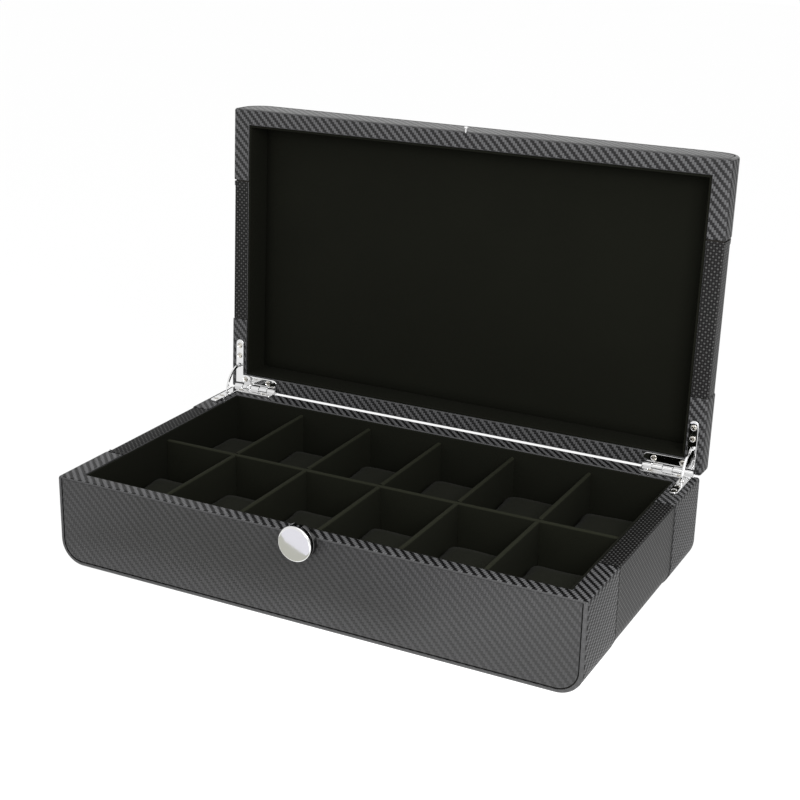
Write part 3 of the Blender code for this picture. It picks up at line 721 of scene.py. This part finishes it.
def stitches(shell, y, inset, name):
    """Row of slightly slanted threads across the section at y."""
    shape = bmesh.new()
    sides, long, thick = 6, 0.85, 0.17
    for point, along in section_path(shell, inset, 2.3):
        slant = (along + Vector((0, rng.uniform(0.08, 0.2), 0))).normalized()
        out = slant.cross(Vector((0, 1, 0))).normalized()
        across = slant.cross(out).normalized()
        centre = point + Vector((0, y, 0))
        rings = []
        for reach, size in ((-1.0, 0.45), (-0.7, 0.95), (0.0, 1.1), (0.7, 0.95), (1.0, 0.45)):
            middle = centre + slant * long * reach
            ring = []
            for k in range(sides):
                turn = 2 * math.pi * k / sides
                spoke = out * math.cos(turn) + across * math.sin(turn)
                ring.append(shape.verts.new(middle + spoke * thick * size))
            rings.append(ring)
        for lower, upper in zip(rings, rings[1:]):
            for k in range(sides):
                j = (k + 1) % sides
                shape.faces.new((lower[k], lower[j], upper[j], upper[k]))
        shape.faces.new(rings[0])
        shape.faces.new(rings[-1])
    item = new_object(name, shape)
    for polygon in item.data.polygons:
        polygon.use_smooth = True
    return item


# ---------------------------------------------------------------- hinges

def leaf_outline(side):
    """L of a hinge leaf: one leg along the side, one along the rear, both with round ends."""
    half = LEG_HALF
    end_y = LEG_END + LEG_HALF
    end_x = LEG_X + LEG_HALF - BARREL_LENGTH + LEG_HALF
    points = [(LEG_X + half, REAR_LEG_Y + half), (end_x, REAR_LEG_Y + half)]
    steps = 10
    for step in range(1, steps):
        angle = math.pi * (0.5 + step / steps)
        points.append((end_x + half * math.cos(angle), REAR_LEG_Y + half * math.sin(angle)))
    points += [(end_x, REAR_LEG_Y - half), (LEG_X - half, REAR_LEG_Y - half), (LEG_X - half, end_y)]
    for step in range(1, steps):
        angle = math.pi * (1 + step / steps)
        points.append((LEG_X + half * math.cos(angle), end_y + half * math.sin(angle)))
    points.append((LEG_X + half, end_y))
    return [(side * x, y) for x, y in points]


def sector(inner, outer, start, end, steps):
    """Ring segment in (y, z) about the axis; 0 lies flat towards the front and positive goes up."""
    points = []
    for radius, angles in ((outer, range(steps + 1)), (inner, range(steps, -1, -1))):
        for k in angles:
            angle = start + (end - start) * k / steps
            points.append((-radius * math.cos(angle), radius * math.sin(angle)))
    return points


def knuckle_spans(up):
    """Where each knuckle of one leaf starts and ends along the barrel; the base owns the outer ones."""
    length = BARREL_LENGTH / KNUCKLES
    ends = [BARREL_END - index * length - GAP / 2 for index in range(0 if up < 0 else 1, KNUCKLES, 2)]
    return [(end - length + GAP, end) for end in ends]


def knuckle(side, x0, x1):
    r, c = BARREL_RADIUS, 0.3
    profile = [(r - c, side * x0), (r, side * (x0 + c)), (r, side * (x1 - c)), (r - c, side * x1)]
    return turned("knuckle", "X", (0, 0), profile, 28)


def leaf(side, up):
    """Hinge leaf with countersinks, the stay's slot, its knuckles and the tongues that carry them."""
    near, far = up * (LEAF_FAR - LEAF), up * LEAF_FAR
    low, high = sorted((near, far))
    item = prism("leaf", leaf_outline(side), "Z", low, high)
    soften_edges(item, [(0.28, both(lambda p: abs(p.z - near) < 0.01))], 3)
    for x, y in SCREW_SPOTS:
        profile = [(HEAD_RADIUS + 0.55, near - up * 0.4), (HEAD_RADIUS + 0.25, near), (1.2, near + up * 0.8),
                   (1.2, far + up * 0.5)]
        cut(item, turned("sink", "Z", (side * x, y), profile, 24))
    reach = STAY_HALF + 0.35
    slot = prism("slot", sector(STAY_RADIUS - reach, STAY_RADIUS + reach, -0.14, 0.14, 8), "X",
                 side * LEG_X - 1.0, side * LEG_X + 1.0)
    cut(item, slot)
    smooth_by_angle(item)
    root = REAR_LEG_Y + LEG_HALF
    extras = [knuckle(side, x0, x1) for x0, x1 in knuckle_spans(up)]
    for x0, x1 in knuckle_spans(up):
        lo, hi = sorted((side * x0, side * x1))
        extras.append(box("tongue", (lo, root - 0.2, low), (hi, -1.2, high)))
    for extra in extras:
        smooth_by_angle(extra)
    return merge(item, *extras)


def screw(side, up, spot):
    """Countersunk screw with a cross slot turned at random."""
    x, y = side * spot[0], spot[1]
    near = up * (LEAF_FAR - LEAF)
    steps = ((0, -0.12), (0.9, -0.08), (HEAD_RADIUS - 0.15, 0.02), (HEAD_RADIUS, 0.12), (0.95, 0.7),
             (0.9, 5), (0.9, 6.6), (0, 8))
    profile = [(radius, near + up * depth) for radius, depth in steps]
    item = turned("screw", "Z", (x, y), profile, 24)
    turn = rng.uniform(0, math.pi)
    for extra in (0, math.pi / 2):
        c, s = math.cos(turn + extra), math.sin(turn + extra)
        long, wide = 1.25, 0.2
        corners = [(x + c * a - s * b, y + s * a + c * b) for a, b in
                   ((-long, -wide), (long, -wide), (long, wide), (-long, wide))]
        lo, hi = sorted((near - up * 1.0, near + up * 0.55))
        cut(item, prism("slot", corners, "Z", lo, hi))
    smooth_by_angle(item)
    return item


def seat_hinges(part, up):
    """Cuts the barrel relief and the stay pockets into a rear wrap."""
    for side in (-1, 1):
        lo, hi = sorted((side * (BARREL_END + GAP), side * (BARREL_END - BARREL_LENGTH - GAP)))
        cut(part, prism("relief", circle((0, 0), BARREL_RADIUS + 0.4, 32), "X", lo, hi))
        first, last = sorted((-up * 0.07, up * 1.09))
        pocket = sector(STAY_RADIUS - STAY_HALF - 0.35, STAY_RADIUS + STAY_HALF + 0.35, first, last, 12)
        cut(part, prism("slot", pocket, "X", side * LEG_X - 1.95, side * LEG_X + 1.95))
    return part


def stay(side):
    """Bright quarter ring with thicker stops."""
    x = side * LEG_X
    tail, top, stop = math.radians(8), OPEN + math.radians(8), math.radians(2.6)
    inner, outer = STAY_RADIUS - STAY_HALF, STAY_RADIUS + STAY_HALF
    item = prism("stay", sector(inner, outer, -tail, top, 40), "X", x - 0.65, x + 0.65)
    soften_edges(item, [(0.2, any_edge)], 2)
    smooth_by_angle(item)
    ends = []
    for a in (-tail, top - stop):
        end = prism("stop", sector(inner, outer, a, a + stop, 2), "X", x - 1.6, x + 1.6)
        soften_edges(end, [(0.15, any_edge)], 2)
        smooth_by_angle(end)
        ends.append(end)
    return merge(item, *ends)


def lift_axis(item):
    """Moves a piece built about the hinge axis to its place in the base."""
    item.data.transform(Matrix.Translation((0, BACK, AXIS_Z)))
    return item


# ---------------------------------------------------------------- catch

def copy_node(node):
    """The CAD node's mesh in millimetres, welded."""
    shape = bmesh.new()
    shape.from_mesh(frame["nodes"][node].data)
    bmesh.ops.scale(shape, vec=(1 / MM,) * 3, verts=shape.verts)
    bmesh.ops.remove_doubles(shape, verts=shape.verts, dist=1e-3)
    bmesh.ops.dissolve_limit(shape, angle_limit=math.radians(0.5), verts=shape.verts, edges=shape.edges)
    return new_object(node, shape)


def knob():
    """Polished cap with a rolled edge, on the stem and fingers of the CAD button."""
    face = KNOB_FACE
    profile = [(0, face), (6.0, face + 0.02), (9.4, face + 0.06), (10.0, face + 0.14), (10.55, face + 0.42),
               (10.9, face + 0.8), (KNOB_RADIUS, face + 1.2), (KNOB_RADIUS, CAP_BACK - 0.4),
               (10.7, CAP_BACK), (0, CAP_BACK)]
    cap = turned("cap", "Y", (0, KNOB_Z), profile, 96)
    smooth_by_angle(cap, 40)
    rest = copy_node("push_button")
    cut(rest, box("front", (-20, KNOB_FACE - 5, KNOB_Z - 20), (20, CAP_BACK - 0.15, KNOB_Z + 20)))
    smooth_by_angle(rest, 35)
    return merge(cap, rest)


def collar():
    item = copy_node("button_housing")
    soften_edges(item, [(0.35, both(lambda p: abs(p.y - COLLAR_FRONT) < NEAR))], 3)
    smooth_by_angle(item, 40)
    return item


def stud():
    y, z = -2 * BACK, STUD_Z - AXIS_Z
    steps = ((0, -3.3), (0.7, -3.25), (1.15, -3.1), (1.4, -2.75), (1.4, -2.3), (1.2, -2.1), (0.8, -2.1),
             (0.8, 3.3), (0, 3.5))
    profile = [(radius, y + depth) for radius, depth in steps]
    item = turned("stud", "Y", (0, z), profile, 32)
    smooth_by_angle(item, 40)
    return item


# ---------------------------------------------------------------- inside

def lining_ring(half, y0, y1, low, high, top_up):
    """Four lining walls in one ring, rounded along the edge at the rim."""
    reach = LINING + 0.25
    ring = box("ring", (-half - reach, y0 - reach, low), (half + reach, y1 + reach, high))
    cut(ring, box("room", (-half, y0, low - 5), (half, y1, high + 5)))
    edge_z = high if top_up else low
    soften_edges(ring, [(0.5, both(lambda p: abs(p.z - edge_z) < NEAR))], 3)
    smooth_by_angle(ring, 40)
    return ring


def ripple(item, amount, size, seed):
    """Small uneven wave over a soft surface."""
    mesh = item.data
    offset = Vector((seed * 13.7, seed * 5.1, seed * 9.3))
    normals = [v.normal.copy() for v in mesh.vertices]
    for vertex, normal in zip(mesh.vertices, normals):
        vertex.co += normal * noise.noise(vertex.co / size + offset) * amount


def cushion_blank(low, high, bottom_radius, top_radius):
    """Closed cage of a cushion, remeshed for the cloth pass."""
    radii = (bottom_radius, bottom_radius, top_radius, top_radius)
    outline = rounded_outline((low[1], low[2]), (high[1], high[2]), radii, 6)
    item = prism("cushion", outline, "X", low[0], high[0])
    remesh = item.modifiers.new("remesh", "REMESH")
    remesh.mode = "VOXEL"
    remesh.voxel_size = CLOTH_VOXEL
    bake_modifiers(item)
    return item


def simulate(item, limit):
    """Inflates the cushion as cloth with pressure and keeps the movement within the limit."""
    start = [v.co.copy() for v in item.data.vertices]
    item.data.transform(Matrix.Scale(CLOTH_SCALE, 4))
    cloth = item.modifiers.new("cloth", "CLOTH")
    settings = cloth.settings
    settings.use_pressure = True
    settings.uniform_pressure_force = 4.0
    settings.tension_stiffness = 12
    settings.compression_stiffness = 12
    settings.bending_stiffness = 0.3
    settings.quality = 5
    settings.effector_weights.gravity = 0
    cloth.collision_settings.use_self_collision = False
    scene = bpy.context.scene
    scene.frame_start, scene.frame_end = 1, CLOTH_FRAMES
    for number in range(1, CLOTH_FRAMES + 1):
        scene.frame_set(number)
    seen = item.evaluated_get(bpy.context.evaluated_depsgraph_get())
    moved = [v.co / CLOTH_SCALE for v in seen.data.vertices]
    item.modifiers.clear()
    scene.frame_set(1)
    for vertex, a, b in zip(item.data.vertices, start, moved):
        step = b - a
        if step.length > limit:
            step = step.normalized() * limit
        vertex.co = a + step
    return item


def cushions():
    """Twelve cushions from one simulated blank, each rippled its own way inside its CAD solid's space."""
    hx, hy, hz = CUSHION_HALF
    # Smaller than its space, because the cloth pass swells it
    blank = cushion_blank((-hx + 1.9, -hy + 1.9, -hz + 1.2), (hx - 1.9, hy - 1.9, hz - 2.2), 3.0, 9.5)
    simulate(blank, CLOTH_CAP)
    made = {}
    for row, centre in CUSHION_ROWS:
        for column in range(6):
            item = blank.copy()
            item.data = blank.data.copy()
            bpy.context.scene.collection.objects.link(item)
            ripple(item, 0.9, 22.0, column + (7 if row == "rear" else 1))
            for vertex in item.data.vertices:
                for axis, reach in enumerate(CUSHION_HALF):
                    vertex.co[axis] = max(-reach, min(reach, vertex.co[axis]))
            item.data.transform(Matrix.Translation((PITCH * (column - 2.5), centre, CUSHION_Z)))
            made[f"cushion_{row}_{column + 1}"] = item
    bpy.data.objects.remove(blank, do_unlink=True)
    return made


# ---------------------------------------------------------------- assembly

def pierce(shell, *items):
    """Cuts the stud's hole in the lid's front pieces, or the stem's hole in the base's front panel."""
    if shell.lid:
        outline = circle((0, STUD_Z - AXIS_Z), STUD_HOLE, 20)
    else:
        outline = circle((0, STEM_Z), STEM_HOLE, 32)
    for item in items:
        cut(item, prism("hole", outline, "Y", shell.front - 2, shell.front + 3))


def build_shells():
    for lid in (False, True):
        shell = Shell(lid)
        word = shell.body
        front, rear = end_shell(shell, True), end_shell(shell, False)
        if lid:
            seat_hinges(rear, 1)
        else:
            rear.data.transform(Matrix.Translation((0, -BACK, -AXIS_Z)))
            seat_hinges(rear, -1)
            rear.data.transform(Matrix.Translation((0, BACK, AXIS_Z)))
        face = panel(shell)
        pierce(shell, *((front, face) if lid else (face,)))
        middle = band(shell)
        # Zone copies with painted light: brighter and more contrasty on the rims, dimmer on the sides, a
        # painted highlight on the border and lips
        carbon = (TWILL_LID if lid else TWILL, TWILL_SIDE, BORDER_HIGHLIGHT_SKIN)
        woven = (WOVEN_LID if lid else WOVEN, WOVEN_SIDE, BORDER_HIGHLIGHT_SKIN)
        pieces = ((front, "front_wrap", carbon), (rear, "rear_wrap", carbon),
                  (face, "front_panel", (TWILL_PANEL,)), (middle, "middle_wrap", woven))
        for item, node, skins in pieces:
            dress(item, f"look_{word}_{node}", shell, skins, [f"{word}_{node}"])
        strip_y = shell.shift - BAND_HALF + BAND_FROM
        strip = edging(shell, strip_y, 2.8)
        dress(strip, f"look_{word}_seam_strip", shell, woven, [])
        row = stitches(shell, strip_y + 3.05, BAND_STEP - 0.02, "row")
        settle(row, f"look_{word}_seam_stitches", shell.body, THREAD, [], lid)


def dress(item, name, shell, skins, nodes):
    """Smooths a covering, lays out its fabric and gives each zone of it its copy of the skin, the copies
    differing by painted light.
    """
    smooth_by_angle(item, 30)
    zones = skin_zones(item, shell)
    shell_uv(item, shell)
    settle(item, name, shell.body, skins[0], nodes, shell.lid)
    for skin in skins[1:]:
        item.data.materials.append(skin)
    if len(skins) > 1:
        item.data.polygons.foreach_set("material_index", zones)


def skin_zones(item, shell):
    """Material of each face: 0 on the rims, 1 on the sides and bottom, 2 on the front border and lips; these
    copies of one leatherette differ by painted light, and 2 is a painted highlight.
    """
    zones = []
    half, y0, y1 = shell.opening
    for polygon in item.data.polygons:
        n, c = polygon.normal, polygon.center
        rim = n.z < -0.5 if shell.lid else n.z > 0.5
        on_border = n.y < -0.55 and c.y < shell.front + 2
        in_lip = abs(c.x) < half + 0.62 and y0 - 0.62 < c.y < y1 + 0.62
        if on_border or (in_lip and abs(c.z - shell.rim) < 1.0 and abs(n.z) < 0.97):
            zones.append(2)
        else:
            zones.append(0 if rim and abs(c.z - shell.rim) < 3 else 1)
    return zones


def build_inside():
    ring = lining_ring(INNER_HALF, INNER_FRONT, INNER_REAR, FLOOR_LEVEL - LINING, RIM - LINING_DROP, True)
    settle(ring, "look_base_wall_lining", "base", SUEDE, ["base_wall_lining"])
    floor = box("floor", (-INNER_HALF + 0.05, INNER_FRONT + 0.05, FLOOR_LEVEL - LINING),
                (INNER_HALF - 0.05, INNER_REAR - 0.05, FLOOR_LEVEL))
    soften_edges(floor, [(0.4, any_edge)], 2)
    settle(floor, "look_base_floor_lining", "base", SUEDE, ["base_floor_lining"])
    for name, item in cushions().items():
        smooth_by_angle(item, 80)
        subdivide(item)
        settle(item, f"look_{name}", "base", CUSHION_SUEDE, [name])
    places = [PITCH * (number - 3) for number in range(1, 6)]
    for number, x in enumerate(places, 1):
        item = soft_bar(x, (INNER_FRONT + GAP, INNER_REAR - GAP), "Y")
        cut(item, box("slot", (x - 3, INNER_MIDDLE - NOTCH_HALF, CROSS_NOTCH_FROM),
                      (x + 3, INNER_MIDDLE + NOTCH_HALF, 70)))
        settle_divider(item, f"cross_divider_{number}")
    item = soft_bar(INNER_MIDDLE, (-INNER_HALF + GAP, INNER_HALF - GAP), "X")
    for x in places:
        cut(item, box("slot", (x - NOTCH_HALF, INNER_MIDDLE - 3, 0),
                      (x + NOTCH_HALF, INNER_MIDDLE + 3, LONG_NOTCH_TO)))
    settle_divider(item, "long_divider")


def settle_divider(item, node):
    smooth_by_angle(item, 40)
    settle(item, f"look_{node}", "base", DIVIDER_SUEDE, [node])
    # Painted sheen on the divider's top
    crest(item)


def crest(item):
    """Painted sheen: lighter suede along the rounded top of a divider, where the light from above falls."""
    item.data.materials.append(DIVIDER_PAINTED_SHEEN)
    low = (DIVIDER_TOP - 2) * MM
    sheen_faces = [1 if p.normal.z > 0.45 and p.center.z > low else 0 for p in item.data.polygons]
    item.data.polygons.foreach_set("material_index", sheen_faces)


def subdivide(item):
    modifier = item.modifiers.new("round", "SUBSURF")
    modifier.levels = 1
    modifier.render_levels = 1
    bake_modifiers(item)
    for polygon in item.data.polygons:
        polygon.use_smooth = True


def soft_bar(middle, run, along):
    """Divider with a rounded top, centred on its line and running along an axis."""
    low, high = (middle - DIVIDER_HALF, DIVIDER_LOW), (middle + DIVIDER_HALF, DIVIDER_TOP)
    return prism("bar", rounded_outline(low, high, (0, 0, 1.3, 1.3), 5), along, *run)


def build_lid_inside():
    half, y0, y1 = LID_INNER
    ring = lining_ring(half, y0, y1, LID_RIM + LINING_DROP, LID_CEILING - GAP, False)
    settle(ring, "look_lid_wall_lining", "lid", SUEDE, ["lid_wall_lining"], lid=True)
    pad = soft_pad(half - 0.05, y0 + 0.05, y1 - 0.05, PAD_FACE, LID_CEILING - GAP)
    settle(pad, "look_lid_pad", "lid", PAD_SUEDE, ["lid_pad"], lid=True)


def soft_pad(half, y0, y1, low, high):
    """Thin padded board, its visible face turned down, with rolled edges and a slight crown."""
    shape = bmesh.new()
    columns, rows = 72, 40
    edge = 2.2
    grid = []
    for j in range(rows + 1):
        line = []
        for i in range(columns + 1):
            x = -half + 2 * half * i / columns
            y = y0 + (y1 - y0) * j / rows
            inside = min(half - abs(x), y - y0, y1 - y)
            roll = edge - math.sqrt(max(edge ** 2 - (edge - min(inside, edge)) ** 2, 0))
            wave = 0.12 * (noise.noise(Vector((x / 60, y / 60, 3.1))) + 1)
            z = low + 0.25 + min(roll, high - low - 0.6) - wave * min(inside / 10, 1)
            line.append(shape.verts.new((x, y, z)))
        grid.append(line)
    for j in range(rows):
        for i in range(columns):
            shape.faces.new((grid[j][i], grid[j][i + 1], grid[j + 1][i + 1], grid[j + 1][i]))
    border = grid[0] + [row[-1] for row in grid[1:]] + grid[-1][-2::-1] + [row[0] for row in grid[-2:0:-1]]
    back = [shape.verts.new((v.co.x, v.co.y, high)) for v in border]
    count = len(border)
    for k in range(count):
        j = (k + 1) % count
        shape.faces.new((border[k], border[j], back[j], back[k]))
    shape.faces.new(back)
    item = new_object("pad", shape)
    smooth_by_angle(item, 60)
    return item


def build_hinges():
    for side, word in ((-1, "left"), (1, "right")):
        for up, owner in ((-1, "base"), (1, "lid")):
            lid = up > 0
            item = leaf(side, up)
            if not lid:
                lift_axis(item)
            node = f"{owner}_hinge_leaf_{word}"
            settle(item, f"look_{node}", owner, CHROME, [node], lid)
            cad_screws = {0: [f"{owner}_hinge_screw_{word}_1"], 3: [f"{owner}_hinge_screw_{word}_2"]}
            for number, spot in enumerate(SCREW_SPOTS):
                item = screw(side, up, spot)
                if not lid:
                    lift_axis(item)
                name = f"look_{owner}_screw_{word}_{number + 1}"
                settle(item, name, owner, SCREW_METAL, cad_screws.get(number, []), lid)
        item = lift_axis(stay(side))
        settle(item, f"look_stay_{word}", f"{word}_stay", CHROME, [f"stay_{word}"])


def build_catch():
    button = settle(knob(), "look_push_button", "button", CHROME, ["push_button"])
    # The knob's side and back get the dark copy of the chrome: painted reflection of the dark box
    button.data.materials.append(SHADE_CHROME)
    shaded = [1 if p.center.y > (KNOB_FACE + 1.0) * MM else 0 for p in button.data.polygons]
    button.data.polygons.foreach_set("material_index", shaded)
    spring = copy_node("return_spring")
    smooth_by_angle(spring, 60)
    settle(spring, "look_return_spring", "base", STEEL, ["return_spring"])
    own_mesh(spring)
    # Housing behind the knob in the dark copy of the chrome: painted shade
    settle(collar(), "look_button_housing", "base", SHADE_CHROME, ["button_housing"])
    settle(stud(), "look_lid_stud", "lid", CHROME, ["lid_stud"], True)


def build_felt():
    item = copy_node("base_felt")
    soften_edges(item, [(0.25, any_edge)], 2)
    smooth_by_angle(item, 40)
    settle(item, "look_base_felt", "base", FELT, ["base_felt"])


def repaint_frame():
    """Finishes for the frame pieces that keep their own shape."""
    paints = {"board": BOARD, "frame": BOARD, "pin": STEEL, "clip": STEEL}
    for name, item in frame["nodes"].items():
        for word, material in paints.items():
            if word in name:
                for place in item.material_slots:
                    place.material = material


# ---------------------------------------------------------------- studio

def card(name, corners, colour):
    """Paper lying just above the floor that only mirrors and glossy surfaces see."""
    shape = bmesh.new()
    shape.faces.new([shape.verts.new((x, y, 0.0006)) for x, y in corners])
    item = new_object(name, shape)
    g = Graph(name)
    glow = g.add("ShaderNodeEmission")
    glow.inputs["Color"].default_value = (*colour, 1)
    g.link(glow.outputs["Emission"], g.out.inputs["Surface"])
    item.data.materials.append(g.material)
    item.visible_camera = False
    item.visible_diffuse = False
    item.visible_shadow = False


def paper_floor():
    """White paper that glows, more so in front of the box, where the catch mirrors it."""
    shape = bmesh.new()
    corners = ((-1, -1), (1, -1), (1, 1), (-1, 1))
    shape.faces.new([shape.verts.new((x * FLOOR_REACH, y * FLOOR_REACH, 0)) for x, y in corners])
    floor = new_object("floor", shape)
    g = Graph("paper")
    glow = g.add("ShaderNodeEmission")
    glow.inputs["Color"].default_value = (1, 1, 1, 1)
    place = g.add("ShaderNodeSeparateXYZ")
    g.link(g.add("ShaderNodeTexCoord").outputs["Object"], place.inputs["Vector"])
    dx, dy = [g.math("DIVIDE", g.math("SUBTRACT", place.outputs[axis], centre), reach)
              for axis, centre, reach in zip("XY", SPOT_CENTRE, SPOT_REACH)]
    far = g.math("ADD", g.math("MULTIPLY", dx, dx), g.math("MULTIPLY", dy, dy))
    spot = g.math("POWER", math.e, g.math("MULTIPLY", far, -1.0))
    g.put(glow.inputs["Strength"], g.math("MULTIPLY_ADD", spot, SPOT_GAIN, 1.0))
    mixer = g.add("ShaderNodeMixShader")
    mixer.inputs["Fac"].default_value = 0.85
    g.set(Base_Color=g.mix_colour(g.noise(3.0, 2.0), grey(0.92), grey(0.95)), Roughness=0.9)
    g.link(g.shader.outputs["BSDF"], mixer.inputs[1])
    g.link(glow.outputs["Emission"], mixer.inputs[2])
    g.link(mixer.outputs["Shader"], g.out.inputs["Surface"])
    floor.data.materials.append(g.material)


def photo_camera(scene):
    """Camera where the photographer's stood, solved from the corners of the open box."""
    camera_data = bpy.data.cameras.new("camera")
    camera = bpy.data.objects.new("camera", camera_data)
    scene.collection.objects.link(camera)
    camera_data.sensor_width = 36
    camera_data.lens = LENS
    camera_data.shift_x = 0.0438
    camera_data.shift_y = 0.0030
    camera_data.clip_start = 0.05
    right = Vector((0.881731, 0.471537, 0.014252))
    down = Vector((0.169680, -0.288808, -0.942231))
    ahead = Vector((-0.440181, 0.833212, -0.334661))
    matrix = Matrix((right, -down, -ahead)).transposed().to_4x4()
    matrix.translation = Vector((0.42036, -0.81857, 0.43605))
    camera.matrix_world = matrix
    scene.camera = camera


def studio():
    scene = bpy.context.scene
    scene.view_settings.view_transform = "Standard"
    world = bpy.data.worlds.new("tent")
    scene.world = world
    world.use_nodes = True
    back = world.node_tree.nodes["Background"]
    back.inputs["Color"].default_value = (1, 1, 1, 1)
    back.inputs["Strength"].default_value = 1.0

    paper_floor()
    card("card_far", [(-0.30, -0.70), (0.10, -0.70), (0.06, -0.146), (-0.20, -0.2795)], (0.96, 0.95, 1.02))
    card("card_near", [(-0.20, -0.2795), (0.06, -0.146), (0.06, -0.125), (-0.20, -0.125)], (0.6, 0.6, 0.54))
    photo_camera(scene)

    # Name, place, aim, side of the square and power
    lights = (("key", (0.3, -0.5, 1.5), (0, 0, 0.05), 1.2, 3.0),
              ("right", (0.5, -1.2, 0.55), (0.15, 0, 0.12), 0.6, 2.0),
              ("near_right", (0.50, -0.42, 0.48), (0.14, 0.1, 0.2), 0.25, 3.0))
    for name, place, aim, size, power in lights:
        data = bpy.data.lights.new(name, "AREA")
        data.shape = "SQUARE"
        data.size = size
        data.energy = power
        lamp = bpy.data.objects.new(name, data)
        scene.collection.objects.link(lamp)
        lamp.location = place
        lamp.rotation_euler = (Vector(aim) - Vector(place)).to_track_quat("-Z", "Y").to_euler()


build_shells()
build_inside()
build_lid_inside()
build_hinges()
build_catch()
build_felt()
repaint_frame()
studio()
